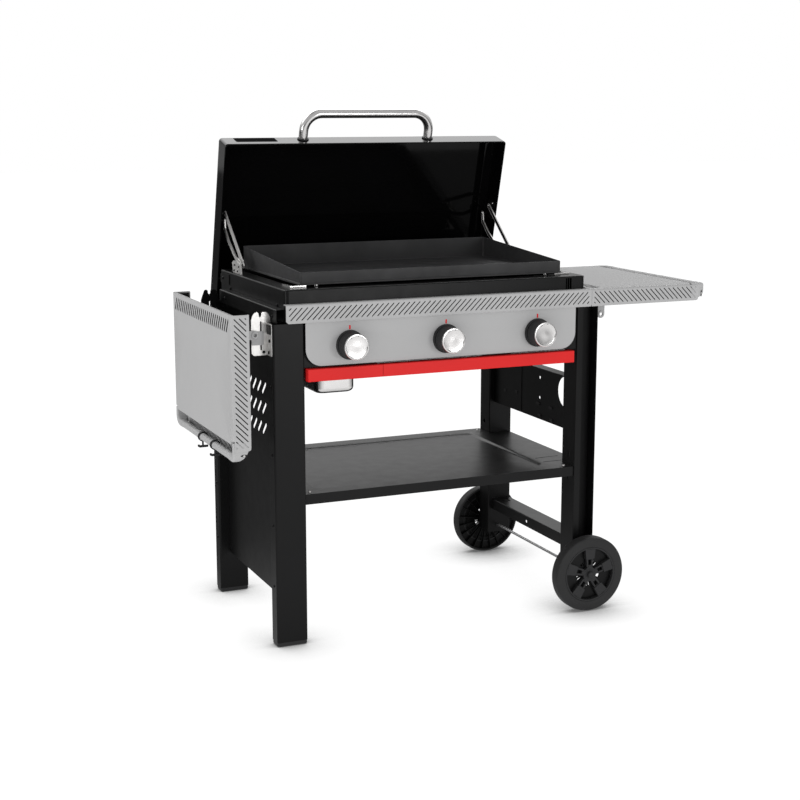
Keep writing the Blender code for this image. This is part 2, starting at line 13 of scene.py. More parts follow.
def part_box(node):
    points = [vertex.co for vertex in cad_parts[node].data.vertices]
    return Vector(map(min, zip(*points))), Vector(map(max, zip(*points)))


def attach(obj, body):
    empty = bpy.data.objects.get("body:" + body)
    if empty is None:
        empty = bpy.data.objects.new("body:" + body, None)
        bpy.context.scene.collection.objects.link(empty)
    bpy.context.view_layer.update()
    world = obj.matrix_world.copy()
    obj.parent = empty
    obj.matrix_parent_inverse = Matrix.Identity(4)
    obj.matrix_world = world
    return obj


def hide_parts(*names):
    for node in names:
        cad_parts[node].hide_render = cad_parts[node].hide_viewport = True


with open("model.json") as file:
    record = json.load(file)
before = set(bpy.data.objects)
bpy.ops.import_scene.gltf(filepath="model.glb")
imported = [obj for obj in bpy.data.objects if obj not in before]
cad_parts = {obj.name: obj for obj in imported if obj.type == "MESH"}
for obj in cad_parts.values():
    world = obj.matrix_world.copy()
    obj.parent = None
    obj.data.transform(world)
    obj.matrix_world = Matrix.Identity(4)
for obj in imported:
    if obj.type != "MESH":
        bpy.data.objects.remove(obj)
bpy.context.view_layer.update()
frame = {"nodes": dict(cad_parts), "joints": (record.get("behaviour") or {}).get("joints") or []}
JOINTS = {joint["name"]: joint for joint in frame["joints"]}
SCENE = bpy.context.scene
BOX_LOW, BOX_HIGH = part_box("firebox")
CART = Vector(((BOX_LOW.x + BOX_HIGH.x) / 2, BOX_LOW.y + 0.250, 0))     # middle of the cart

SHEET = 0.0015                  # sheet-metal thickness
# the sheets behind slots are near-black: painted shade
LINER = 0.0008                  # thickness of the shaded sheets behind slots
SLOT_PITCH = 0.0150             # spacing of the diagonal slots
SLOT_WIDTH = 0.0028
SLOT_MARGIN = 0.0088            # from the slots to the edge of their strip
BOLT = 0.0045                   # usual radius of a screw's head
LID_OPEN_ANGLE = math.radians(-75)
LID_DEPTH, LID_HEIGHT = 0.550, 0.0848
SIDES = (("left", -1), ("right", 1))
KNOBS = ("left", "middle", "right")
LEG_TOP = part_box("leg_front_left")[1].z


# ---------------------------------------------------------------- materials
def link(tree, source, target):
    """Joins two sockets of a node tree."""
    tree.links.new(source, target)


def noise(tree, scale, detail=3.0, stretch=(1, 1, 1)):
    """A noise texture on the object's own coordinates; scale is in features for each metre."""
    place = tree.nodes.new("ShaderNodeTexCoord")
    mapping = tree.nodes.new("ShaderNodeMapping")
    mapping.inputs["Scale"].default_value = stretch
    made = tree.nodes.new("ShaderNodeTexNoise")
    made.inputs["Scale"].default_value = scale
    made.inputs["Detail"].default_value = detail
    link(tree, place.outputs["Object"], mapping.inputs["Vector"])
    link(tree, mapping.outputs["Vector"], made.inputs["Vector"])
    return made.outputs["Fac"]


def ramp(tree, factor, low, high, start=0.3, end=0.7):
    """A grey or coloured ramp between two values."""
    made = tree.nodes.new("ShaderNodeValToRGB")
    for element, place, value in zip(made.color_ramp.elements, (start, end), (low, high)):
        element.position = place
        element.color = value if len(value) == 4 else (*value, 1.0)
    link(tree, factor, made.inputs["Fac"])
    return made.outputs["Color"]


def mapped(tree, value, start, end, low, high):
    """A value carried from one range into another, clamped."""
    made = tree.nodes.new("ShaderNodeMapRange")
    for socket, number in (("From Min", start), ("From Max", end), ("To Min", low),
                           ("To Max", high)):
        made.inputs[socket].default_value = number
    link(tree, value, made.inputs["Value"])
    return made.outputs["Result"]


def combined(tree, operation, one, two):
    """Two values through one math node."""
    made = tree.nodes.new("ShaderNodeMath")
    made.operation = operation
    link(tree, one, made.inputs[0])
    link(tree, two, made.inputs[1])
    return made.outputs["Value"]


def surface(name, colour, roughness, metallic=0.0, specular=0.5, vary=0.12, patch=9.0,
            grain=900.0, relief=0.00004, stretch=(1, 1, 1), worn=0.0, rough_vary=0.08):
    """Principled surface with patchy colour, uneven gloss, fine grain and lighter worn edges."""
    made = bpy.data.materials.new(name)
    made.use_nodes = True
    tree = made.node_tree
    shader = tree.nodes["Principled BSDF"]
    shader.inputs["Metallic"].default_value = metallic
    shader.inputs["Specular IOR Level"].default_value = specular

    darker = [value * (1 - vary) for value in colour]
    lighter = [min(1.0, value * (1 + vary)) for value in colour]
    shade = ramp(tree, noise(tree, patch, 4.0), darker, lighter)
    if worn:
        edge = tree.nodes.new("ShaderNodeNewGeometry")
        mask = ramp(tree, edge.outputs["Pointiness"], (0, 0, 0), (worn, worn, worn), 0.52, 0.62)
        mix = tree.nodes.new("ShaderNodeMix")
        mix.data_type = "RGBA"
        link(tree, mask, mix.inputs["Factor"])
        link(tree, shade, mix.inputs["A"])
        bright = [min(1.0, value * 2.2 + 0.03) for value in colour]
        mix.inputs["B"].default_value = (*bright, 1.0)
        shade = mix.outputs["Result"]
    link(tree, shade, shader.inputs["Base Color"])

    smooth, dull = max(0.02, roughness - rough_vary), min(1.0, roughness + rough_vary)
    gloss = ramp(tree, noise(tree, patch * 3.1, 5.0), (smooth,) * 3, (dull,) * 3)
    link(tree, gloss, shader.inputs["Roughness"])

    bump = tree.nodes.new("ShaderNodeBump")
    bump.inputs["Strength"].default_value = 0.6
    bump.inputs["Distance"].default_value = relief
    link(tree, noise(tree, grain, 3.0, stretch), bump.inputs["Height"])
    link(tree, bump.outputs["Normal"], shader.inputs["Normal"])
    return made


def make_materials():
    """Every look of the part, by its short name."""
    return {
        "black_paint": surface("satin_black_powder_coat", (0.0050, 0.0050, 0.0052), 0.34,
                               specular=0.155, vary=0.06, worn=0.10, rough_vary=0.03),
        "grey_paint": surface("light_grey_powder_coat", (0.445, 0.445, 0.447), 0.45, specular=0.20,
                              vary=0.012, grain=1400, relief=0.00003, worn=0.04, rough_vary=0.03),
        "red_paint": surface("gloss_red_paint", (0.71, 0.019, 0.019), 0.34, specular=0.14,
                             vary=0.02, relief=0.00002, worn=0.05, rough_vary=0.02),
        "carbon_steel_plate": surface("seasoned_carbon_steel", (0.037, 0.037, 0.038), 0.52,
                                      specular=0.22, vary=0.16, patch=7, grain=700,
                                      relief=0.00006, stretch=(1, 4, 4), rough_vary=0.08, worn=0.2),
        "black_enamel": surface("gloss_black_enamel", (0.0018, 0.0018, 0.0019), 0.07,
                                specular=0.15, vary=0.10, grain=40, relief=0.00003,
                                rough_vary=0.02),
        "brushed_steel": surface("brushed_stainless_steel", (0.67, 0.66, 0.655), 0.19, metallic=1.0,
                                 vary=0.03, grain=260, relief=0.0000006, rough_vary=0.03),
        "zinc_plated_steel": surface("zinc_plated_steel", (0.74, 0.73, 0.715), 0.38, metallic=0.70,
                                     vary=0.05, patch=60, relief=0.00002),
        "brass": surface("turned_brass", (0.70, 0.50, 0.22), 0.32, metallic=1.0, vary=0.06),
        "black_plastic": surface("grained_dark_plastic", (0.024, 0.024, 0.025), 0.52, specular=0.22,
                                 vary=0.06, grain=1800, relief=0.00005),
        "black_rubber": surface("moulded_wheel_tread", (0.028, 0.028, 0.0285), 0.60, specular=0.16,
                                vary=0.07, grain=1500, relief=0.00006),
        "axle_steel": surface("dull_axle_steel", (0.34, 0.34, 0.345), 0.36, metallic=0.85,
                              vary=0.05, relief=0.00001),
        # near-black and without specular: painted shade for the sheets behind slots and inside the
        # lid links; the lid's name plate takes it as its own dark colour
        "slot_shadow": surface("shaded_inner_sheet", (0.016, 0.016, 0.0165), 0.60, specular=0.0,
                               vary=0.05),
    }


LOOKS = make_materials()


# ---------------------------------------------------------------- outlines (2D points)
def rectangle(low, high):
    """Counter-clockwise corners, from low-low."""
    return [(low[0], low[1]), (high[0], low[1]), (high[0], high[1]), (low[0], high[1])]


def arc(centre, radius, start, end, steps):
    """Points on an arc; angles in degrees, counter-clockwise when end is larger."""
    angles = [math.radians(start + (end - start) * step / steps) for step in range(steps + 1)]
    return [(centre[0] + radius * math.cos(a), centre[1] + radius * math.sin(a)) for a in angles]


def circle(centre, radius, steps=24):
    """Counter-clockwise points, with the first not repeated at the end."""
    return arc(centre, radius, 0, 360 - 360 / steps, steps - 1)


def rounded(low, high, radii, steps=5):
    """Counter-clockwise rounded rectangle; one radius, or one for each corner from low-low."""
    if not hasattr(radii, "__len__"):
        radii = (radii,) * 4
    signs = ((1, 1), (-1, 1), (-1, -1), (1, -1))
    points = []
    for index, (corner, sign, radius) in enumerate(zip(rectangle(low, high), signs, radii)):
        centre = (corner[0] + sign[0] * radius, corner[1] + sign[1] * radius)
        points += arc(centre, radius, 180 + 90 * index, 270 + 90 * index, steps)
    return points


def bar(start, end, width, steps=5):
    """A slot or a flat bar with round ends."""
    start, end = Vector(start), Vector(end)
    heading = math.degrees(math.atan2(end.y - start.y, end.x - start.x))
    return (arc(end, width / 2, heading - 90, heading + 90, steps)
            + arc(start, width / 2, heading + 90, heading + 270, steps))


def ribbon(path, width):
    """Outline of a bar of even width that follows a bent path, with round ends."""
    steps = 6
    points = [Vector(point) for point in path]
    sides = ([], [])
    for index, here in enumerate(points):
        before, after = points[max(0, index - 1)], points[min(len(points) - 1, index + 1)]
        one = (here - before).normalized() if index else (after - here).normalized()
        two = (after - here).normalized() if index < len(points) - 1 else one
        normal = Vector((-(one + two).y, (one + two).x)).normalized()
        reach = width / 2 / max(0.3, normal.dot(Vector((-one.y, one.x))))
        sides[0].append(here + normal * reach)
        sides[1].append(here - normal * reach)
    last = points[-1] - points[-2]
    first = points[1] - points[0]
    end, start = (math.degrees(math.atan2(way.y, way.x)) for way in (last, first))
    return ([tuple(point) for point in sides[1][1:-1]]
            + arc(points[-1], width / 2, end - 90, end + 90, steps)
            + [tuple(point) for point in sides[0][-2:0:-1]]
            + arc(points[0], width / 2, start + 90, start + 270, steps))


def diagonal_slots(low, high):
    """Parallel 45-degree slots that fill a strip, cut short at its ends."""
    bottom, top = low[1] + SLOT_MARGIN, high[1] - SLOT_MARGIN
    left, right = low[0] + SLOT_MARGIN, high[0] - SLOT_MARGIN
    reach = top - bottom
    length = right - left + reach
    count = int(length / SLOT_PITCH) + 1
    first = left - reach + (length - (count - 1) * SLOT_PITCH) / 2
    slots = []
    for number in range(count):
        foot = first + number * SLOT_PITCH
        start, end = max(0.0, left - foot), min(reach, right - foot)
        if end - start >= 0.0005:
            slots.append(bar((foot + start, top - start), (foot + end, top - end), SLOT_WIDTH, 3))
    return slots


# ---------------------------------------------------------------- meshes
def spot(axis, a, b, along):
    """A point of an outline that is extruded along an axis."""
    return {"X": (along, a, b), "Y": (a, along, b), "Z": (a, b, along)}[axis]


def to_mesh(shape):
    """The bmesh as a mesh with its faces all turned outwards."""
    bmesh.ops.remove_doubles(shape, verts=shape.verts, dist=1e-6)
    bmesh.ops.recalc_face_normals(shape, faces=shape.faces)
    return to_mesh_open(shape)


def to_mesh_open(shape):
    """The bmesh as a mesh, with its faces left as they are."""
    mesh = bpy.data.meshes.new("shape")
    shape.to_mesh(mesh)
    shape.free()
    return mesh


def loft(loops, caps=(True, True), ring=False):
    """Surface through loops of 3D points with the same count; ring joins the last to the first."""
    shape = bmesh.new()
    rows = [[shape.verts.new(point) for point in loop] for loop in loops]
    count = len(rows[0])
    pairs = list(zip(rows, rows[1:])) + ([(rows[-1], rows[0])] if ring else [])
    for lower, upper in pairs:
        for index in range(count):
            after = (index + 1) % count
            shape.faces.new((lower[index], lower[after], upper[after], upper[index]))
    if caps[0] and not ring:
        shape.faces.new(rows[0][::-1])
    if caps[1] and not ring:
        shape.faces.new(rows[-1])
    return to_mesh(shape)


def prism(outline, axis, low, high):
    """An outline extruded along an axis, with both ends closed."""
    return loft([[spot(axis, a, b, along) for a, b in outline] for along in (low, high)])


def hollow(outer, inner, axis, low, high):
    """A tube with the same number of points on its outer and inner outline."""
    rows = ((outer, low), (outer, high), (inner, high), (inner, low))
    return loft([[spot(axis, a, b, along) for a, b in points] for points, along in rows], ring=True)


def turned(profile, axis="Y", centre=(0, 0, 0), steps=40, closed=False):
    """Turns (radius, distance) points about an axis through the centre."""
    loops = []
    for radius, along in profile:
        radius = max(radius, 0.00002)
        loops.append([Vector(spot(axis, a, b, along)) + Vector(centre)
                      for a, b in circle((0, 0), radius, steps)])
    return loft(loops, ring=closed)


def swept(path, radius, steps=16):
    """A round bar along 3D points, with capped ends."""
    loops, side = [], None
    for index, here in enumerate(path):
        before, after = path[max(0, index - 1)], path[min(len(path) - 1, index + 1)]
        ahead = (Vector(after) - Vector(before)).normalized()
        if side is None:
            side = ahead.orthogonal().normalized()
        side = (side - ahead * side.dot(ahead)).normalized()
        up = ahead.cross(side)
        size = radius[index] if hasattr(radius, "__len__") else radius
        loops.append([Vector(here) + side * (a * size) + up * (b * size)
                      for a, b in circle((0, 0), 1, steps)])
    return loft(loops)


def filled(outline, holes=()):
    """A flat face in the XY plane with holes, as a bmesh."""
    shape = bmesh.new()
    edges = []
    for points in (outline, *holes):
        corners = [shape.verts.new((a, b, 0)) for a, b in points]
        edges += [shape.edges.new(pair) for pair in zip(corners, corners[1:] + corners[:1])]
    bmesh.ops.triangle_fill(shape, use_beauty=True, use_dissolve=False, edges=edges,
                            normal=(0, 0, 1))
    return shape


def bend(path, radius):
    """Samples (distance, point) along an open path with round corners.

    The distances are the path's own, as if its corners were sharp."""
    samples, travelled, steps = [(0.0, Vector(path[0]))], 0.0, 4
    radii = radius if hasattr(radius, "__len__") else (radius,) * (len(path) - 2)
    for before, here, after, size in zip(path, path[1:], path[2:], radii):
        before, here, after = Vector(before), Vector(here), Vector(after)
        travelled += (here - before).length
        ahead, leaving = (here - before).normalized(), (after - here).normalized()
        turn = math.atan2(ahead.x * leaving.y - ahead.y * leaving.x, ahead.dot(leaving))
        tangent = size * abs(math.tan(turn / 2))
        inward = Vector((-ahead.y, ahead.x)) * (1 if turn > 0 else -1)
        start = here - ahead * tangent
        for step in range(steps + 1):
            angle = abs(turn) * step / steps
            point = (start + inward * (size * (1 - math.cos(angle)))
                     + ahead * (size * math.sin(angle)))
            samples.append((travelled - tangent + 2 * tangent * step / steps, point))
    travelled += (Vector(path[-1]) - Vector(path[-2])).length
    samples.append((travelled, Vector(path[-1])))
    return samples


def folded(outline, holes, samples, place):
    """Sheet metal: a flat (along, across) cut-out whose across direction follows the samples."""
    shape = filled(outline, holes)
    for distance, _ in samples[1:-1]:
        everything = shape.verts[:] + shape.edges[:] + shape.faces[:]
        bmesh.ops.bisect_plane(shape, geom=everything, dist=1e-6, plane_co=(0, distance, 0),
                               plane_no=(0, 1, 0))
    for vertex in shape.verts:
        across = vertex.co.y
        for (start, one), (end, two) in zip(samples, samples[1:]):
            if across <= end + 1e-6:
                break
        share = (across - start) / (end - start) if end > start else 0
        point = one.lerp(two, share)
        vertex.co = place(vertex.co.x, point.x, point.y)
    return to_mesh_open(shape)


def flat(outline, holes, place):
    """A flat cut-out whose points are put in space by place."""
    shape = filled(outline, holes)
    for vertex in shape.verts:
        vertex.co = place(vertex.co.x, vertex.co.y)
    return to_mesh_open(shape)


def merged(*meshes):
    """Several meshes as one."""
    shape = bmesh.new()
    for mesh in meshes:
        shape.from_mesh(mesh)
    return to_mesh_open(shape)


def moved(mesh, matrix):
    """The mesh, transformed in place; a mirrored one keeps its faces outwards."""
    mesh.transform(matrix)
    if matrix.determinant() < 0:
        mesh.flip_normals()
    return mesh


def inset(low, high, by, radius, steps=5, height=None):
    """Rounded rectangle inside a box's plan, as 2D points or, with a height, as 3D points."""
    points = rounded((low[0] + by, low[1] + by), (high[0] - by, high[1] - by), radius, steps)
    return points if height is None else [(a, b, height) for a, b in points]


def block(low, high):
    """A plain box from its two corners."""
    return prism(rectangle(low[:2], high[:2]), "Z", low[2], high[2])


def evaluated(made):
    """The object's mesh with its modifiers applied."""
    bpy.context.view_layer.update()
    return bpy.data.meshes.new_from_object(
        made.evaluated_get(bpy.context.evaluated_depsgraph_get()))


# ---------------------------------------------------------------- pieces
def thick_side(mesh, inside):
    """+1 or -1: which way along its normals a sheet thickens to grow towards the inside point."""
    total = 0.0
    for face in mesh.polygons:
        total += face.area * face.normal.dot((Vector(inside) - face.center).normalized())
    return 1.0 if total > 0 else -1.0


def piece(name, mesh, look, body, replaced=(), thickness=0.0, inside=None, bevel=0.0, sharp=35):
    """A finished piece: a sheet is thickened towards the inside point, or both ways without one;
    then its edges are broken, it is shaded, and it rides on its body."""
    side = thick_side(mesh, inside) if inside is not None else 0.0
    made = bpy.data.objects.new(name, mesh)
    SCENE.collection.objects.link(made)
    if thickness:
        thick = made.modifiers.new("thickness", "SOLIDIFY")
        thick.thickness = thickness
        thick.offset = side
        thick.use_even_offset = True
    if bevel:
        edge = made.modifiers.new("edges", "BEVEL")
        edge.width = bevel
        edge.segments = 2
        edge.limit_method = "ANGLE"
        edge.angle_limit = math.radians(sharp)
        edge.use_clamp_overlap = True
    if made.modifiers:
        final = evaluated(made)
        made.modifiers.clear()
        made.data = final
    made.data.name = name
    made.data.shade_smooth()
    made.data.set_sharp_from_angle(angle=math.radians(32))
    even = made.modifiers.new("normals", "WEIGHTED_NORMAL")
    even.keep_sharp = True
    even.weight = 100
    made.data.materials.clear()
    made.data.materials.append(LOOKS[look])
    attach(made, body)
    if replaced:
        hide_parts(*([replaced] if isinstance(replaced, str) else replaced))
    return made


def cut(mesh, tool):
    """The mesh with the tool's shape taken out of it."""
    made, cutter = bpy.data.objects.new("cut", mesh), bpy.data.objects.new("tool", tool)
    for thing in (made, cutter):
        SCENE.collection.objects.link(thing)
    taking = made.modifiers.new("take", "BOOLEAN")
    taking.operation, taking.solver, taking.object = "DIFFERENCE", "EXACT", cutter
    final = evaluated(made)
    for thing in (made, cutter):
        bpy.data.objects.remove(thing)
    return final


def screw_mesh(centre, direction, radius=BOLT, height=0.0026):
    """A domed screw head with a hexagonal socket, facing along direction."""
    steps, socket = 24, radius * 0.42
    hexagon = []
    for index in range(steps):
        angle = math.radians(360 * index / steps)
        wedge = (angle + math.pi / 6) % (math.pi / 3) - math.pi / 6
        size = socket * math.cos(math.pi / 6) / math.cos(wedge)
        hexagon.append((size * math.cos(angle), size * math.sin(angle)))
    rows = [(circle((0, 0), radius, steps), -height * 0.5)]
    for share in (0.0, 0.35, 0.65, 0.85):
        angle = share * math.pi / 2
        rows.append((circle((0, 0), radius * (math.cos(angle) * 0.45 + 0.55), steps),
                     height * math.sin(angle)))
    rows += [(circle((0, 0), radius * 0.6, steps), height), (hexagon, height),
             (hexagon, height * 0.35)]
    mesh = loft([[(a, b, along) for a, b in points] for points, along in rows])
    turn = Vector((0, 0, 1)).rotation_difference(Vector(direction)).to_matrix().to_4x4()
    return moved(mesh, Matrix.Translation(Vector(centre)) @ turn)


def screws(name, spots, direction, radius=BOLT, look="black_paint"):
    """Screw heads of the cart, as one piece."""
    piece(name, merged(*[screw_mesh(centre, direction, radius) for centre in spots]), look, "cart")


# ---------------------------------------------------------------- cart: legs, panels, shelf
def build_left_legs():
    """Closed legs with dark foot caps and a row of screws on the outside."""
    for end in ("front", "rear"):
        node = f"leg_{end}_left"
        low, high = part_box(node)
        outer, inner = inset(low, high, 0, 0.005), inset(low, high, SHEET, 0.0035)
        piece(f"{node}_tube", hollow(outer, inner, "Z", low.z, high.z), "black_paint", "cart",
              node, bevel=0.0004, sharp=60)
        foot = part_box(f"foot_{end}_left")
        rows = [inset(*foot, by, 0.005, height=height) for by, height in
                ((0.0035, foot[0].z), (0.001, foot[0].z + 0.002), (0.0, foot[0].z + 0.004),
                 (0.0, foot[1].z))]
        piece(f"foot_{end}_left_cap", loft(rows), "black_plastic", "cart", f"foot_{end}_left",
              bevel=0.0005)
        screws(f"{node}_screws", [(low.x + 0.0004, (low.y + high.y) / 2, z)
                                  for z in (0.165, 0.330, 0.520, 0.700)], (-1, 0, 0), 0.004)


def build_right_legs():
    """Open C sections with an inner web; the axle goes through their outer sides."""
    axle_low, axle_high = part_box("axle")
    axle = (axle_low + axle_high) / 2
    lip, web_depth = 0.0185, 0.038
    for end, sign in (("front", 1), ("rear", -1)):
        node = f"leg_{end}_right"
        low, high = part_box(node)
        face, back = (low.y, high.y) if sign > 0 else (high.y, low.y)
        depth = abs(back - face)
        samples = bend([(low.x + lip, face), (low.x, face), (low.x, back), (high.x, back),
                        (high.x, face)], 0.003)
        holes = [circle((axle.z, lip + depth + axle.x - low.x), 0.0048, 16)]
        holes += [circle((z, lip + 0.45 * depth), 0.0065, 16) for z in (0.372, 0.440)]
        mesh = folded(rectangle((low.z, 0), (high.z, samples[-1][0])), holes, samples,
                      lambda u, a, b: (a, b, u))
        piece(f"{node}_channel", mesh, "black_paint", "cart", node, thickness=SHEET,
              inside=(low + high) / 2, bevel=0.0003)
        web = flat(rectangle((low.x + 0.0022, low.z + 0.002), (high.x - 0.0022, high.z - 0.0005)),
                   [], lambda a, b: (a, face + sign * web_depth, b))
        piece(f"{node}_web", web, "black_paint", "cart", thickness=SHEET, bevel=0.0003)
        screws(f"{node}_screws", [(high.x - 0.0026, (face + back) / 2, z)
                                  for z in (0.135, 0.360, 0.640, 0.845)], (1, 0, 0))


def build_end_panel():
    """The flat left panel, with three rows of steep vents."""
    low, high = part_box("end_panel")
    middle = (low.x + high.x) / 2
    pitch, rise, reach = 0.0405, 0.0555, 0.0128
    holes = []
    for row in range(3):
        for column in range(8):
            z, y = 0.5600 + rise * row, low.y + 0.1267 + pitch * column
            holes.append(bar((z - reach, y + reach), (z + reach, y - reach), 0.0100, 4))
    mesh = flat(rectangle((low.z, low.y), (high.z, high.y)), holes, lambda z, y: (middle, y, z))
    piece("end_panel_sheet", mesh, "black_paint", "cart", "end_panel", thickness=SHEET,
          bevel=0.0003)
    screws("end_panel_screws", [(low.x + 0.0002, y, z) for y in (low.y + 0.008, high.y - 0.008)
                                for z in (0.140, 0.400, 0.640)], (-1, 0, 0), 0.0035)


def build_lower_shelf():
    """A pressed tray with a shallow well, notched round the right legs."""
    low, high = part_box("lower_shelf")
    front_leg, rear_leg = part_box("leg_front_right"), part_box("leg_rear_right")
    gap, top = 0.0003, high.z
    notch_front, notch_rear = front_leg[1].y + gap, rear_leg[0].y - gap
    inner_front, inner_rear = front_leg[0].x - gap, rear_leg[0].x - gap
    outline = [(low.x, low.y), (inner_front, low.y), (inner_front, notch_front),
               (high.x, notch_front), (high.x, notch_rear), (inner_rear, notch_rear),
               (inner_rear, high.y), (low.x, high.y)]
    margin, depth, slope = 0.045, 0.006, 0.010
    well = ((low.x + margin, low.y + margin), (inner_rear - 0.055, high.y - margin))
    wide = inset(*well, 0, 0.030, 8)
    slits = [bar(CART.xy + Vector(start), CART.xy + Vector(end), 0.0035, 3) for start, end in
             (((0.368, 0.275), (0.392, 0.271)), ((0.366, -0.118), (0.440, -0.113)),
              ((0.366, -0.167), (0.446, -0.169)))]
    deck = flat(outline, [wide, *slits], lambda a, b: (a, b, top))
    pan = loft([inset(*well, 0, 0.030, 8, top), inset(*well, slope / 2, 0.026, 8, top - depth / 2),
                inset(*well, slope, 0.022, 8, top - depth)], caps=(False, True))
    skirt = loft([[(a, b, height) for a, b in outline] for height in (top, low.z)],
                 caps=(False, False))
    joined = bmesh.new()
    for part in (deck, pan, skirt):
        joined.from_mesh(part)
    bmesh.ops.remove_doubles(joined, verts=joined.verts, dist=1e-5)
    bmesh.ops.recalc_face_normals(joined, faces=joined.faces)
    piece("lower_shelf_pressing", to_mesh_open(joined), "black_paint", "cart", "lower_shelf",
          thickness=SHEET, inside=(0, 0, low.z - 1), bevel=0.0008, sharp=50)
    screws("lower_shelf_screws", [(CART.x + x, CART.y + y, top + 0.0001) for x, y in
                                  ((-0.372, -0.228), (0.396, -0.228), (-0.372, 0.303),
                                   (0.386, 0.303))], (0, 0, 1), 0.004, "zinc_plated_steel")


def build_tank_bracket():
    """The plate between the right legs that a gas bottle hangs on."""
    low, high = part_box("tank_bracket")
    notch_z, notch = 0.611, 0.045
    flange = high.x - low.x
    points = rectangle((low.y, low.z), (high.y, high.z + flange))
    points += arc((low.y, notch_z), notch, 90, -90, 14)
    holes = [circle((CART.y - 0.030, z), BOLT, 16) for z in (0.570, 0.630)]
    samples = [(low.z + distance, point) for distance, point in
               bend([(low.x, low.z), (low.x, high.z), (high.x, high.z)], 0.003)]
    mesh = folded(points, holes, samples, lambda u, a, b: (a, u, b))
    piece("tank_bracket_sheet", mesh, "black_paint", "cart", "tank_bracket", thickness=SHEET,
          inside=(high.x, (low.y + high.y) / 2, low.z), bevel=0.0003)
    span, rise = high.y - low.y, high.z - low.z
    bosses = []
    for a, b in ((0.84, 0.33), (0.67, 0.38), (0.36, 0.30), (0.19, 0.30), (0.34, 0.08),
                 (0.18, 0.07)):
        y, z = low.y + a * span, low.z + b * rise
        bosses.append(prism(rounded((y - 0.009, z - 0.004), (y + 0.009, z + 0.004), 0.0035), "X",
                            low.x - 0.0030, low.x + 0.0004))
    piece("tank_bracket_bosses", merged(*bosses), "black_plastic", "cart", bevel=0.0006)
    doubler = block((low.x - 0.0016, low.y + 0.60 * span, low.z + 0.004),
                    (low.x - 0.0001, high.y - 0.002, high.z - 0.004))
    piece("tank_bracket_doubler", doubler, "black_paint", "cart", bevel=0.0005)


def build_crossbar():
    """The folded angle low down between the right legs."""
    low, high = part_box("lower_crossbar")
    samples = bend([(high.x, high.z), (low.x, high.z), (low.x, low.z)], 0.003)
    flange = high.x - low.x
    outline = rectangle((low.y, 0), (high.y, samples[-1][0]))
    holes = [circle((CART.y + 0.030, flange + 0.017), BOLT, 16)]
    holes += [bar((y, 0.022), (y + 0.020, 0.022), 0.006) for y in (low.y + 0.030, high.y - 0.050)]
    mesh = folded(outline, holes, samples, lambda u, a, b: (a, u, b))
    piece("lower_crossbar_angle", mesh, "black_paint", "cart", "lower_crossbar", thickness=SHEET,
          inside=(high.x, (low.y + high.y) / 2, low.z), bevel=0.0003)


# ---------------------------------------------------------------- wheels and axle
def build_wheels():
    """The axle with its dark end caps, and a wheel at each end."""
    low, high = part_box("axle")
    centre = ((low.x + high.x) / 2, 0, (low.z + high.z) / 2)
    radius = (high.z - low.z) / 2
    start, end = low.y + 0.0018, high.y - 0.0018
    profile = [(0, start), (radius - 0.001, start), (radius, start + 0.001), (radius, end - 0.001),
               (radius - 0.001, end), (0, end)]
    piece("axle_rod", turned(profile, "Y", centre, 24), "axle_steel", "cart", "axle")
    cap = [(0.0, 0.0002), (0.0045, 0.0004), (0.0078, 0.0012), (0.0094, 0.0028), (0.0096, 0.0060),
           (radius + 0.0002, 0.0060), (radius + 0.0002, 0.0016), (0.0, 0.0016)]
    for end, outward, tip in (("front", -1, low.y), ("rear", 1, high.y)):
        build_wheel(end, outward)
        profile = [(size, tip - outward * depth) for size, depth in cap]
        piece(f"axle_{end}_cap", turned(profile, "Y", centre, 28, closed=True), "black_plastic",
              "cart")


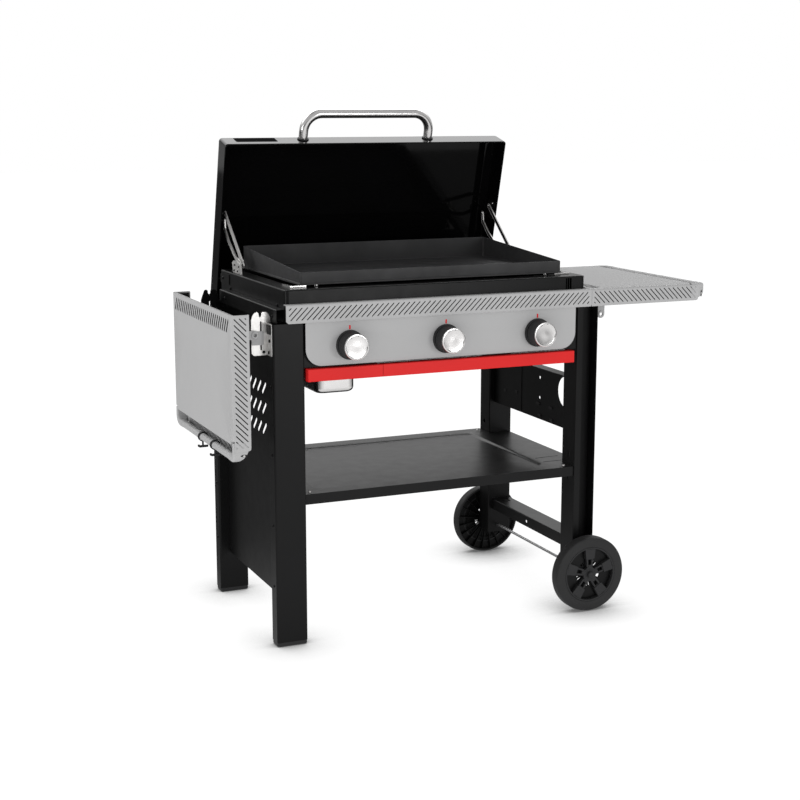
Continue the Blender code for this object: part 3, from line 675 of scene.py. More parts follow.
def build_wheel(end, outward):
    """Moulded wheel; local Y is the axis and -Y faces outward for the front wheel."""
    tyre_low, tyre_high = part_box(f"tyre_{end}")
    middle = (tyre_low + tyre_high) / 2
    big = (tyre_high.z - tyre_low.z) / 2
    half = (tyre_high.y - tyre_low.y) / 2
    rim, spoke_count, rib_count = 0.079, 5, 20
    body = f"wheel_{end}"
    place = Matrix.Translation(middle) @ Matrix.Scale(1 if outward < 0 else -1, 4, (0, 1, 0))

    tread = [(rim, -half + 0.003), (rim + 0.003, -half + 0.001), (rim + 0.012, -half),
             (big - 0.008, -half), (big - 0.0025, -half + 0.0025), (big, -half + 0.008),
             (big, half - 0.008), (big - 0.0025, half - 0.0025), (big - 0.0055, half - 0.001),
             (big - 0.0075, half - 0.004), (big - 0.0075, -half + 0.014),
             (rim + 0.002, -half + 0.012), (rim, -half + 0.010)]
    tyre = moved(turned(tread, "Y", steps=80, closed=True), place)
    piece(f"wheel_{end}_tread", tyre, "black_rubber", body, f"tyre_{end}", bevel=0.0006, sharp=30)

    flange = [(rim - 0.0003, -half + 0.0022), (rim - 0.0003, -half + 0.022),
              (0.0755, -half + 0.022), (0.0745, -half + 0.020), (0.0745, -half + 0.016),
              (0.0735, -half + 0.006), (0.0748, -half + 0.0022)]
    hub = [(0.0043, -half + 0.004), (0.0150, -half + 0.004), (0.0170, -half + 0.010),
           (0.0190, -half + 0.016), (0.0190, half - 0.004), (0.0165, half - 0.001),
           (0.0043, half - 0.001)]
    piece(f"wheel_{end}_rim", moved(merged(turned(flange, "Y", steps=80, closed=True),
                                           turned(hub, "Y", steps=48, closed=True)), place),
          "black_plastic", body, f"wheel_{end}", bevel=0.0005, sharp=30)

    # five spokes: a raised pad at the rim, two rails with a pocket near the hub, and a star between
    spokes = []
    for number in range(spoke_count):
        turn = Matrix.Rotation(2 * math.pi * number / spoke_count, 4, "Y")
        pad = [(-0.0132, 0.0445), (0.0132, 0.0445), (0.0168, 0.0738), (-0.0168, 0.0738)]
        spokes.append(moved(prism(pad, "Y", -half + 0.0030, -half + 0.0170), turn))
        outer = [(-0.0092, 0.0205), (0.0092, 0.0205), (0.0108, 0.0465), (-0.0108, 0.0465)]
        inner = [(-0.0046, 0.0270), (0.0046, 0.0270), (0.0056, 0.0425), (-0.0056, 0.0425)]
        spokes.append(moved(hollow(outer, inner, "Y", -half + 0.0055, -half + 0.0165), turn))
    star = []
    for number in range(10):
        angle = math.radians(90 + 36 * number)
        size = 0.0280 if number % 2 == 0 else 0.0200
        star.append((size * math.cos(angle), size * math.sin(angle)))
    spokes.append(prism(star, "Y", -half + 0.0045, -half + 0.0150))
    piece(f"wheel_{end}_spokes", moved(merged(*spokes), place), "black_plastic", body, bevel=0.0008)

    # the wall behind the spokes, open near the hub between them
    windows = []
    for number in range(spoke_count):
        heading = 90 + 36 + 72 * number
        windows.append(arc((0, 0), 0.0370, heading - 9, heading + 9, 4)
                       + arc((0, 0), 0.0270, heading + 8, heading - 8, 3))
    wall = flat(circle((0, 0), 0.0748, 80), [circle((0, 0), 0.0180, 40), *windows],
                lambda a, b: (a, -half + 0.0175, b))
    piece(f"wheel_{end}_wall", moved(wall, place), "black_paint", body, thickness=0.0022,
          bevel=0.0004)

    ribs = []
    for number in range(rib_count):
        rib = block((-0.0009, -half + 0.0225, 0.0186), (0.0009, half - 0.0065, 0.1008))
        turn = 2 * math.pi * (number + 0.5) / rib_count
        ribs.append(moved(rib, Matrix.Rotation(turn, 4, "Y")))
    ribs.append(turned([(0.0640, -half + 0.0225), (0.0658, -half + 0.0225), (0.0658, half - 0.0120),
                        (0.0640, half - 0.0120)], "Y", steps=64, closed=True))
    piece(f"wheel_{end}_ribs", moved(merged(*ribs), place), "black_paint", body, bevel=0.0003)
    floor = [(0.0748, -half + 0.0165), (0.1000, -half + 0.0165), (0.1000, -half + 0.0215),
             (0.0748, -half + 0.0215)]
    piece(f"wheel_{end}_inner_floor", moved(turned(floor, "Y", steps=72, closed=True), place),
          "black_paint", body, bevel=0.0003)


# ---------------------------------------------------------------- fire box and griddle plate
def build_firebox():
    """The tub with its rolled rim, ribbed recess, latches, screws and corner guides."""
    low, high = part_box("firebox")
    middle, y0 = (low.x + high.x) / 2, CART.y
    tub = ((middle - 0.385, y0 - 0.185), (middle + 0.385, y0 + 0.250))
    mouth = ((middle - 0.395, y0 - 0.190), (middle + 0.395, y0 + 0.255))
    rim = (low.xy, high.xy)
    step = LEG_TOP + 0.0003
    corner, edge = 0.012, 0.004

    def ring(box, by, radius, height):
        return inset(*box, by, max(radius, 0.001), 6, height)

    rows = [ring(tub, 0.012, 0.014, low.z), ring(tub, 0.004, 0.016, low.z + 0.004),
            ring(tub, 0, 0.018, low.z + 0.012), ring(tub, 0, 0.018, step),
            ring(rim, 0, corner, step)]
    for share in (0.0, 0.25, 0.5, 0.75, 1.0):
        angle = share * math.pi / 2
        rows.append(ring(rim, edge * (1 - math.cos(angle)), corner - edge * 0.5 * share,
                         high.z - edge + edge * math.sin(angle)))
    rows += [ring(mouth, 0, 0.016, high.z), ring(mouth, 0, 0.016, high.z - SHEET),
             ring(rim, 2 * SHEET + edge, 0.006, high.z - SHEET),
             ring(rim, SHEET, 0.010, high.z - edge - SHEET), ring(rim, SHEET, 0.010, step + SHEET),
             ring(tub, SHEET, 0.016, step + SHEET), ring(tub, SHEET, 0.016, low.z + 0.012),
             ring(tub, 0.013, 0.013, low.z + SHEET)]
    recess = block((CART.x + 0.379, low.y - 0.01, step + 0.006),
                   (CART.x + 0.397, low.y + 0.012, high.z - 0.0055))
    piece("firebox_shell", cut(loft(rows), recess), "black_paint", "cart", "firebox",
          bevel=0.0004, sharp=60)
    ribs = [block((x - 0.0008, low.y + 0.0018, step + 0.006),
                  (x + 0.0008, low.y + 0.0110, high.z - 0.006))
            for x in (CART.x + 0.3845, CART.x + 0.3915)]
    ribs.append(block((CART.x + 0.3775, low.y + 0.0112, step + 0.004),
                      (CART.x + 0.3985, low.y + 0.0124, high.z - 0.004)))
    piece("firebox_recess_ribs", merged(*ribs), "black_paint", "cart", bevel=0.0003)

    latch = [(high.y - back, high.z - drop) for back, drop in
             ((0.090, 0.036), (0.010, 0.036), (0.010, 0.012), (0.030, 0.004), (0.090, 0.008))]
    for name, side in SIDES:
        edge_x = low.x if side < 0 else high.x
        plate_x = sorted((edge_x + side * 0.0002, edge_x + side * 0.0022))
        piece(f"firebox_{name}_latch", prism(latch, "X", *plate_x), "black_paint", "cart",
              bevel=0.0005)
        spots = [(edge_x + side * 0.0004, y, high.z - 0.045)
                 for y in (low.y + 0.060, high.y - 0.10)]
        spots.append((edge_x + side * 0.0024, high.y - 0.034, high.z - 0.022))
        screws(f"firebox_{name}_screws", spots, (side, 0, 0), 0.0038)

    # polished corner plates that the griddle plate's feet stand on
    for number, (x, y) in enumerate(((-1, -1), (1, -1), (-1, 1), (1, 1))):
        at_x = middle + x * 0.413
        at_y = (low.y + 0.042) if y < 0 else (high.y - 0.034)
        points = [(at_x - x * a, at_y - y * b) for a, b in
                  ((0, 0), (0.046, 0), (0.046, 0.007), (0.011, 0.011), (0.007, 0.058), (0, 0.058))]
        piece(f"firebox_corner_guide_{number}",
              prism(points[::-1] if x * y > 0 else points, "Z", high.z + 0.0002, high.z + 0.0045),
              "brushed_steel", "cart", bevel=0.0004)


def build_plate():
    """The cooking pan: its walls rise towards the back, and it stands on four steel feet."""
    low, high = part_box("griddle_plate")
    front_top, wall, lip = 0.9905, 0.003, 0.0022
    bottom, floor = 0.958, 0.963
    slope = (high.z - front_top) / (high.y - low.y)

    def ring(by, height, radius):
        """A level ring, or one that follows the sloping edge when the height is 0 or below."""
        points = inset(low, high, by, radius, 6)
        if height > 0:
            return [(a, b, height) for a, b in points]
        return [(a, b, front_top + slope * (b - low.y) + height) for a, b in points]

    rows = [ring(0.006, bottom, 0.006), ring(0.0, bottom, 0.008), ring(0.0, bottom + 0.004, 0.008),
            ring(lip, bottom + 0.0052, 0.007), ring(lip, -0.001, 0.007),
            ring(lip + 0.0006, 0, 0.0065), ring(lip + wall - 0.0006, 0, 0.005),
            ring(lip + wall, -0.001, 0.0045), ring(lip + wall, floor + 0.003, 0.0045),
            ring(lip + wall + 0.001, floor + 0.001, 0.004), ring(lip + wall + 0.003, floor, 0.003)]
    piece("griddle_plate_pan", loft(rows), "carbon_steel_plate", "cart", "griddle_plate",
          bevel=0.0002, sharp=60)
    foot = [(0, 0.9523), (0.0058, 0.9523), (0.0062, 0.9532), (0.0062, 0.9552), (0.0045, 0.9556),
            (0.0045, bottom), (0, bottom)]
    middle = (low.x + high.x) / 2
    feet = [turned(foot, "Z", (x, y, 0), 24) for x in (middle - 0.338, middle + 0.338)
            for y in (low.y + 0.009, high.y - 0.008)]
    piece("griddle_plate_feet", merged(*feet), "brushed_steel", "cart")


# ---------------------------------------------------------------- front
def build_front():
    """Slotted fascia strip, control panel with its red ticks, and the red bar in two parts."""
    low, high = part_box("fascia_strip")
    path = [(high.y - 0.0003, high.z), (low.y, high.z), (low.y, low.z), (CART.y - 0.2565, low.z)]
    samples = bend(path, (0.0035, 0.0015))
    top_flange, chamfer = abs(path[0][0] - path[1][0]), 0.006
    face_end, total = top_flange + high.z - low.z, samples[-1][0]
    outline = [(low.x, 0), (high.x, 0), (high.x, face_end - chamfer),
               (high.x - chamfer * 0.3, face_end), (high.x - 0.010, total), (low.x + 0.012, total),
               (low.x + chamfer, face_end), (low.x, face_end - chamfer)]
    holes = diagonal_slots((low.x, top_flange), (high.x, face_end))
    mesh = folded(outline, holes, samples, lambda u, a, b: (u, a, b))
    piece("fascia_strip_sheet", mesh, "grey_paint", "cart", "fascia_strip", thickness=SHEET,
          inside=(0, high.y, (low.z + high.z) / 2), bevel=0.0003)
    backing = block((low.x + 0.004, low.y + 0.0085, low.z + 0.002),
                    (high.x - 0.004, low.y + 0.0095, high.z - 0.003))
    piece("fascia_strip_backing", backing, "black_paint", "cart", bevel=0.0002)

    low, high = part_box("control_panel")
    outline = rounded(low.xz, high.xz, (0.045, 0.045, 0.002, 0.002), 12)
    centres = [sum(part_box(f"knob_{side}"), Vector()) / 2 for side in KNOBS]
    holes = [circle(centre.xz, 0.012, 24) for centre in centres]
    mesh = flat(outline, holes, lambda a, b: (a, low.y, b))
    piece("control_panel_face", mesh, "grey_paint", "cart", "control_panel",
          thickness=SHEET, inside=(0, 1, high.z), bevel=0.0004)
    for side, centre in zip(KNOBS, centres):
        tick = rounded((centre.x - 0.0022, 0.8435), (centre.x + 0.0022, 0.8545), 0.0012, 3)
        piece(f"control_panel_pointer_{side}", prism(tick, "Y", low.y - 0.0004, low.y + 0.0002),
              "red_paint", "cart", bevel=0.0001)

    for node, body in (("trim_bar", "cart"), ("drawer_front", "drawer")):
        low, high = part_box(node)
        path = [(high.y, high.z), (low.y, high.z), (low.y, low.z), (high.y, low.z)]
        samples = bend(path, 0.0022)
        outline = rectangle((low.x, 0), (high.x, samples[-1][0]))
        mesh = folded(outline, [], samples, lambda u, a, b: (u, a, b))
        piece(f"{node}_channel", mesh, "red_paint", body, node, thickness=SHEET,
              inside=((low.x + high.x) / 2, high.y, (low.z + high.z) / 2), bevel=0.0004)
        inner = SHEET + 0.0002
        ends = [block((x, low.y + inner, low.z + inner), (x + SHEET, high.y, high.z - inner))
                for x in (low.x + 0.0002, high.x - inner)]
        piece(f"{node}_ends", merged(*ends), "red_paint", body, bevel=0.0003)


def build_knobs():
    """Dark bezels and grips, each with a domed steel face and short dial marks."""
    bezel_radius, grip, face_radius = 0.039, 0.0335, 0.0340
    for side in KNOBS:
        body = f"knob_{side}"
        low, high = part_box(body)
        centre = Vector(((low.x + high.x) / 2, 0, (low.z + high.z) / 2))
        face, back = low.y, high.y
        bezel_low, bezel_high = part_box(f"bezel_{side}")
        profile = [(0.016, bezel_high.y), (0.016, bezel_low.y + 0.001), (0.030, bezel_low.y),
                   (0.0362, bezel_low.y), (0.0380, bezel_low.y + 0.0008),
                   (bezel_radius, bezel_low.y + 0.0028), (bezel_radius, bezel_high.y)]
        piece(f"bezel_{side}_ring", turned(profile, "Y", centre, 64, closed=True),
              "black_plastic", "cart", f"bezel_{side}", bevel=0.0003, sharp=40)

        profile = [(0.0045, face + 0.022), (0.0045, back), (0.0350, back), (0.0358, back - 0.001),
                   (0.0355, back - 0.005), (grip, back - 0.009), (grip - 0.0006, face + 0.006),
                   (grip - 0.0015, face + 0.0045), (0.020, face + 0.0045), (0.020, face + 0.010),
                   (0.010, face + 0.010), (0.010, face + 0.022)]
        piece(f"knob_{side}_grip", turned(profile, "Y", centre, 64, closed=True),
              "black_plastic", body, bevel=0.0004, sharp=40)
        dome = [(0.0, 0.0052), (0.0195, 0.0052), (0.0195, 0.0042), (face_radius - 0.0010, 0.0042),
                (face_radius, 0.0032), (face_radius, 0.0014), (face_radius - 0.0006, 0.0004),
                (face_radius - 0.0016, 0), (face_radius - 0.0034, 0),
                (face_radius - 0.0042, 0.0005), (face_radius - 0.0052, 0.0009),
                (0.018, 0.0013), (0.008, 0.0011), (0.0, 0.0010)]
        profile = [(radius, face + depth) for radius, depth in dome]
        piece(f"knob_{side}_face", turned(profile, "Y", centre, 72), "brushed_steel", body, body)
        marks = []
        for start, end in ((112, 128), (-20, -2), (-128, -108), (78, 84)):
            outline = arc((0, 0), 0.0290, start, end, 6) + arc((0, 0), 0.0280, end, start, 6)
            mark = prism(outline, "Y", face + 0.0004, face + 0.0016)
            marks.append(moved(mark, Matrix.Translation(centre)))
        piece(f"knob_{side}_marks", merged(*marks), "black_plastic", body)


def build_drawer():
    """The deep-drawn catch cup: a rounded bowl with a flanged lip."""
    low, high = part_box("catch_cup")
    lip, wall, big, turn = 0.003, 0.001, 0.022, 0.013

    def ring(by, height, radius):
        return inset(low, high, by, radius, 7, height)

    def bowl(offset):
        """The rounded bottom of the outer (0) or inner (wall) side, from the floor up."""
        rows = []
        for step in range(7):
            angle = math.radians(15 * step)
            lean, rise = 1 - math.sin(angle), 1 - math.cos(angle)
            rows.append(ring(lip + offset + (turn - offset) * lean,
                             low.z + offset + (turn - offset) * rise,
                             big - offset - (turn - offset) * 0.6 * lean))
        return rows

    rows = bowl(0) + [ring(lip, high.z - 0.0016, big), ring(0.0004, high.z - 0.0014, big + 0.002),
                      ring(0.0, high.z - 0.0007, big + 0.002), ring(0.0004, high.z, big + 0.002),
                      ring(lip + wall, high.z, big - 0.001)] + bowl(wall)[::-1]
    piece("catch_cup_pressing", loft(rows), "brushed_steel", "drawer", "catch_cup")


# ---------------------------------------------------------------- lid
def lid_matrix():
    """From lid coordinates (X, along the depth, up from the rim) to the open lid."""
    low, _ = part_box("lid_shell")
    middle = sum((corner.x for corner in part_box("firebox"))) / 2
    rim = Vector((middle, low.y, low.z - LID_DEPTH * math.sin(LID_OPEN_ANGLE)))
    return Matrix.Translation(rim) @ Matrix.Rotation(LID_OPEN_ANGLE, 4, "X")


def build_lid():
    """The pressed lid with its hem, the bent handle, and a blank name plate."""
    place = lid_matrix()
    low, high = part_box("lid_shell")
    half = (high.x - low.x) / 2
    corner, edge, hem, steps = 0.009, 0.028, 0.0035, 8

    def ring(inward, height, radius=corner):
        return inset((-half, 0), (half, LID_DEPTH), inward, radius, 6, height)

    rows, inner = [], []
    for step in range(steps + 1):
        angle = math.radians(90 * step / steps)
        lean, rise = 1 - math.cos(angle), math.sin(angle)
        rows.append(ring(edge * lean, LID_HEIGHT - edge + edge * rise))
        inner.append(ring(SHEET + (edge - SHEET) * lean, LID_HEIGHT - edge + (edge - SHEET) * rise,
                          corner - SHEET))
    outer = [ring(0, hem * 0.4), ring(0, 0.012)] + rows
    lip = [ring(hem * 0.30, 0.0), ring(hem * 0.7, 0.0), ring(hem, hem * 0.4), ring(hem, 0.010),
           ring(SHEET, 0.0108)]
    shell = loft(inner[::-1] + [ring(SHEET, 0.0120)] + lip[::-1] + outer)
    piece("lid_shell_pressing", moved(shell, place), "black_enamel", "lid", "lid_shell")

    # handle: a bent tube with a collar outside and a bolt inside at each end
    reach, radius, bow, grip, rise = 0.0757, 0.0132, 0.052, 0.1965, 0.040
    path = [(-grip, -0.0004)]
    path += arc((-grip + bow, -reach + bow), bow, 180, 270, 12)
    path += [(-grip * 0.33, -reach), (grip * 0.33, -reach)]
    path += arc((grip - bow, -reach + bow), bow, 270, 360, 12)
    path += [(grip, -0.0004)]
    handle = swept([(x, y, rise) for x, y in path], radius, 28)
    piece("lid_handle_tube", moved(handle, place), "brushed_steel", "lid", "lid_handle")
    profile = [(radius + wide, -out) for wide, out in
               ((0.0002, 0.0004), (0.0030, 0.0004), (0.0036, 0.0014), (0.0032, 0.0032),
                (0.0018, 0.0042), (0.0002, 0.0042))]
    for name, side in SIDES:
        collar = turned(profile, "Y", (side * grip, 0, rise), 40, closed=True)
        piece(f"lid_handle_{name}_collar", moved(collar, place), "black_plastic", "lid",
              bevel=0.0002)
        bolt = screw_mesh((side * grip, SHEET, rise), (0, 1, 0), 0.0075, 0.004)
        piece(f"lid_handle_{name}_bolt", moved(bolt, place), "zinc_plated_steel", "lid")

    # blank name plate on the front wall
    plate = [[(a, out, b)
              for a, b in inset((-0.402, 0.020), (-0.278, 0.058), by, 0.004 - by * 2 / 3)]
             for by, out in ((0, 0.0001), (0.0006, -0.0003))]
    piece("lid_name_plate", moved(loft(plate), place), "slot_shadow", "lid")


def build_linkage():
    """Channel links on both sides, their pins, and the plates that carry them."""
    place = lid_matrix()
    rear, tilt, front = (Vector(JOINTS[joint]["pos_m"]).yz for joint in
                         ("lid_swing", "lid_tilt", "lid_front_link_swing"))
    top = (place @ Vector((0, 0.210, 0.022))).yz
    ahead = (front - top).normalized()
    links = {"front": (0.0130, front, [top, front - ahead * 0.030, front + ahead * 0.0085]),
             "rear": (0.0115, rear, [tilt, Vector((CART.y + 0.3400, 1.0640)),
                                     Vector((CART.y + 0.3050, 1.0310)),
                                     Vector((CART.y + 0.2350, 0.9870)), rear])}
    for kind, (width, base, route) in links.items():
        for name, side in SIDES:
            node, body = f"lid_{kind}_link_{name}", f"lid_{kind}_links"
            low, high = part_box(node)
            walls = hollow(ribbon(route, width), ribbon(route, width - 0.0034), "X",
                           low.x + 0.0002, high.x - 0.0002)
            floor = ((high.x - 0.0016, high.x - 0.0004) if side > 0
                     else (low.x + 0.0004, low.x + 0.0016))
            web = prism(ribbon(route, width - 0.0030), "X", *floor)
            piece(f"{node}_channel", merged(walls, web), "zinc_plated_steel", body, node,
                  bevel=0.0003)
            # a near-black sheet at mid-depth in each channel: painted shade for its dark interior
            middle = (low.x + high.x) / 2
            shade = prism(ribbon(route, width - 0.0031), "X", middle - 0.0003, middle + 0.0003)
            piece(f"{node}_shade", shade, "slot_shadow", body)
            x = low.x - 0.0002 if side > 0 else high.x + 0.0002
            for at, label in ((route[0], "top"), (base, "base")):
                head = screw_mesh((x, *at), (-side, 0, 0), 0.0044, 0.0018)
                piece(f"{node}_{label}_rivet", head, "brushed_steel", body)
    for name, side in SIDES:
        heads = [screw_mesh((CART.x + side * 0.4358, CART.y + y, z), (-side, 0, 0), 0.0040, 0.0022)
                 for y, z in ((0.3140, 1.1190), (0.3330, 1.1120), (0.3200, 1.0860))]
        piece(f"lid_bracket_{name}_rivets", merged(*heads), "brushed_steel", "lid")

        # an upright plate with its screws on the fire box's rim
        node = f"firebox_hinge_{name}"
        low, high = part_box(node)
        outer_x = low.x if side < 0 else high.x
        upright = [(0.1320, 0.9545), (0.1470, 0.9820), (0.2020, 0.9875), (0.2205, 0.9810),
                   (0.2130, 0.9545)]
        mesh = flat([(CART.y + a, b) for a, b in upright], [],
                    lambda a, b: (outer_x + side * 0.0012, a, b))
        piece(f"{node}_upright", mesh, "zinc_plated_steel", "cart", thickness=0.0014,
              bevel=0.0003)
        screws(f"{node}_screws", [(outer_x + side * 0.0018, CART.y + y, z) for y, z in
                                  ((0.193, 0.975), (0.156, 0.973), (0.199, 0.960),
                                   (0.167, 0.960))], (side, 0, 0), 0.0028)


# ---------------------------------------------------------------- side shelves
def build_shelf(name, sign, folded_down):
    """One side shelf, laid out flat about its hinge line: u runs outwards, a along Y, b up."""
    joint = JOINTS[f"shelf_{name}_fold"]["pos_m"]
    low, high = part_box(f"shelf_{name}")
    body = f"shelf_{name}"
    place = Matrix.Translation(Vector((joint[0], 0, joint[2])))
    if folded_down:
        place = place @ Matrix.Rotation(sign * math.radians(90), 4, "Y")
    place = place @ Matrix.Scale(sign, 4, (1, 0, 0))
    inner, outer, sheet_end, strip_end = -0.0608, 0.322, 0.273, 0.290
    front, rear = low.y, high.y
    top, depth = 0.0795, 0.0485
    bottom = top - depth

    def lay(u, a, b):
        return place @ Vector((u, a, b))

    # a flat sheet in the shelf's frame; near-black by default, as painted shade behind slots
    def liner(label, box, lay_out, look="slot_shadow", openings=(), thickness=LINER):
        piece(f"shelf_{name}_{label}", flat(rectangle(*box), openings, lay_out), look, body,
              thickness=thickness, bevel=0.0002)

    # near-black floors under slots, as painted shade
    def slot_floors(label, meshes):
        piece(f"shelf_{name}_{label}_slot_floors", merged(*meshes), "slot_shadow", body,
              thickness=0.0005)

    # the sheet: hem, slotted strip and top with a crease, and the same at the back
    hem, crease, cap_width, round_end = 0.010, 0.021, 0.0150, 0.007
    path = [(front + hem, bottom), (front, bottom), (front, top), (front + crease, top),
            (front + crease + 0.0012, top - 0.0008), (front + crease + 0.0024, top),
            (rear, top), (rear, bottom), (rear - hem, bottom)]
    samples = bend(path, (0.0015, 0.0065, 0.0004, 0.0004, 0.0004, 0.0065, 0.0015))
    strip, total = (hem, hem + depth), samples[-1][0]
    outline = [(inner, 0), (strip_end - 0.012, 0), (strip_end - 0.008, strip[0])]
    outline += arc((strip_end - round_end, strip[0] + round_end), round_end, -90, 0, 4)
    outline += arc((strip_end - round_end, strip[1] - round_end - 0.003), round_end, 0, 90, 4)
    outline += [(sheet_end - 0.010, strip[1] - 0.003), (sheet_end - 0.010, strip[1] + cap_width),
                (sheet_end, strip[1] + cap_width + 0.006)]
    outline += [(a, total - b) for a, b in outline[::-1]]
    holes = diagonal_slots((inner, strip[0]), (strip_end, strip[1]))
    holes += [[(a, total - b) for a, b in hole] for hole in holes]
    count = 28
    pitch = (rear - front - 0.046) / count
    centres = [total / 2 + (number - (count - 1) / 2) * pitch for number in range(count)]
    row = [((inner + 0.0148, at - 0.008), (inner + 0.0438, at + 0.008)) for at in centres]
    holes += [bar(start, end, 0.0078, 3) for start, end in row]
    piece(f"shelf_{name}_sheet", folded(outline, holes, samples, lay), "grey_paint", body,
          f"shelf_{name}", thickness=SHEET,
          inside=lay((inner + outer) / 2, (front + rear) / 2, -1.0), bevel=0.0003)
    # near-black floors under the top row of slots: painted shade
    slot_floors("top", [folded(bar(start, end, 0.0074, 3), [], samples,
                               lambda u, a, b: lay(u, a, b - 0.0007)) for start, end in row])

    # downturned flange along the hinge side, and the slotted end plate under the rail gap, with
    # painted shade sheets under and behind its slots
    liner("hinge_flange", ((front + 0.004, top - 0.0095), (rear - 0.004, top - SHEET - 0.0004)),
          lambda a, b: lay(inner + SHEET, a, b), "grey_paint", thickness=0.0012)
    box = ((front + 0.030, 0.2835), (rear - 0.030, 0.3165))
    pitch = 0.0112
    count = int((box[1][0] - box[0][0] - 0.032) / pitch) + 1
    row = [((box[0][0] + 0.008 + pitch * number, box[0][1] + 0.006),
            (box[0][0] + 0.024 + pitch * number, box[1][1] - 0.006)) for number in range(count)]
    slot_floors("end", [flat(bar(start, end, 0.0052, 3), [], lambda a, u: lay(u, a, top - 0.0277))
                        for start, end in row])
    liner("end_plate", box, lambda a, u: lay(u, a, top - 0.0275), "grey_paint",
          [bar(start, end, 0.0056, 3) for start, end in row], 0.0012)
    liner("end_liner", ((box[0][0] + 0.004, box[0][1] + 0.002),
                        (box[1][0] - 0.004, box[1][1] - 0.002)),
          lambda a, u: lay(u, a, top - 0.0300))

    # inner sheets behind the slots, coloured near-black as painted shade
    for label, a in (("front_liner", front + 0.0042), ("rear_liner", rear - 0.0042)):
        liner(label, ((inner + 0.004, bottom + 0.003), (strip_end - 0.012, top - 0.004)),
              lambda u, b: lay(u, a, b))
    liner("top_liner", ((inner + 0.006, front + 0.012), (inner + 0.052, rear - 0.012)),
          lambda u, a: lay(u, a, top - 0.0040))

    # corner caps sweep the strip's tall section round into the rail
    rail_radius, rail_y, corner, cap_tall, cap_wide = 0.0105, 0.045, 0.032, depth - 0.003, 0.0135
    route = [(strip_end - 0.022, 0.0), (strip_end - 0.006, 0.0)]
    route += [(outer - corner + corner * math.sin(math.radians(a)),
               corner - corner * math.cos(math.radians(a))) for a in range(0, 91, 10)]
    route += [(outer, rail_y - 0.004), (outer, rail_y + 0.006)]
    length = [0.0]
    for one, two in zip(route, route[1:]):
        length.append(length[-1] + math.dist(one, two))
    turn = math.radians(22)
    at = Vector((outer - corner + corner * math.sin(turn), corner - corner * math.cos(turn)))
    along = Vector((math.cos(turn), math.sin(turn)))
    away = Vector((along.y, -along.x))
    for end, edge_y, way in (("front", front, 1), ("rear", rear, -1)):
        loops = []
        for index, (u, inward) in enumerate(route):
            share = length[index] / length[-1]
            ease = share * share * (3 - 2 * share)
            before, after = route[max(0, index - 1)], route[min(len(route) - 1, index + 1)]
            ahead = Vector((after[0] - before[0], after[1] - before[1])).normalized()
            normal = Vector((-ahead.y, ahead.x))
            tall = cap_tall - (cap_tall - 2 * rail_radius) * ease
            wide = cap_wide + (2 * rail_radius - cap_wide) * ease
            shrink = 0.0018 * (1 - min(1.0, share * 3)) if index < 2 else 0.0
            soft = min(wide, tall) / 2 * (0.45 + 0.5 * ease)
            section = rounded((shrink, top - tall + shrink), (wide, top - 0.0002), soft, 5)
            loops.append([lay(u + normal.x * a, edge_y + way * (inward + normal.y * a), b)
                          for a, b in section])
        piece(f"shelf_{name}_{end}_cap", loft(loops), "grey_paint", body)
        for label, size, squash, lift, tone in (
                ("socket", 0.0095, 0.36, 0.0004, "black_plastic"),
                ("socket_screw", 0.0032, 0.8, 0.0009, "zinc_plated_steel")):
            rows = []
            for share, out in ((1.0, -0.0012), (1.0, lift - 0.0002), (0.93, lift)):
                points = [(at + along * (b * squash) + away * out, a)
                          for a, b in circle((0, 0), size * share, 28)]
                rows.append([lay(point.x, edge_y + way * point.y, top - depth * 0.60 + a)
                             for point, a in points])
            piece(f"shelf_{name}_{end}_{label}", loft(rows), tone, body)
    rail_low, rail_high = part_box(f"towel_rail_{name}")
    rail = swept([(outer - rail_radius, y, top - rail_radius) for y in
                  (rail_low.y, rail_low.y + 0.1, rail_high.y - 0.1, rail_high.y)],
                 rail_radius - 0.0006, 28)
    piece(f"towel_rail_{name}_tube", moved(rail, place), "grey_paint", body,
          f"towel_rail_{name}")

    # hinge lugs with a pressed dimple at the pivot
    for end, lug_y in (("front", CART.y - 0.2170), ("rear", CART.y + 0.2515)):
        outline = [(-0.012, top - 0.006), *arc((0, 0), 0.0115, 180, 360, 12), (0.012, top - 0.006)]
        mesh = flat(outline, [circle((0, 0), 0.0047, 20)], lambda u, b: lay(u, lug_y, b))
        piece(f"shelf_{name}_{end}_lug", mesh, "grey_paint", body, thickness=0.0028,
              bevel=0.0006)
        profile = [(0.0049, -0.0016), (0.0085, -0.0016), (0.0095, -0.0026), (0.0085, -0.0036),
                   (0.0049, -0.0036)]
        dimple = turned(profile, "Y", (0, lug_y, 0), 28, closed=True)
        piece(f"shelf_{name}_{end}_washer", moved(dimple, place), "grey_paint", body)


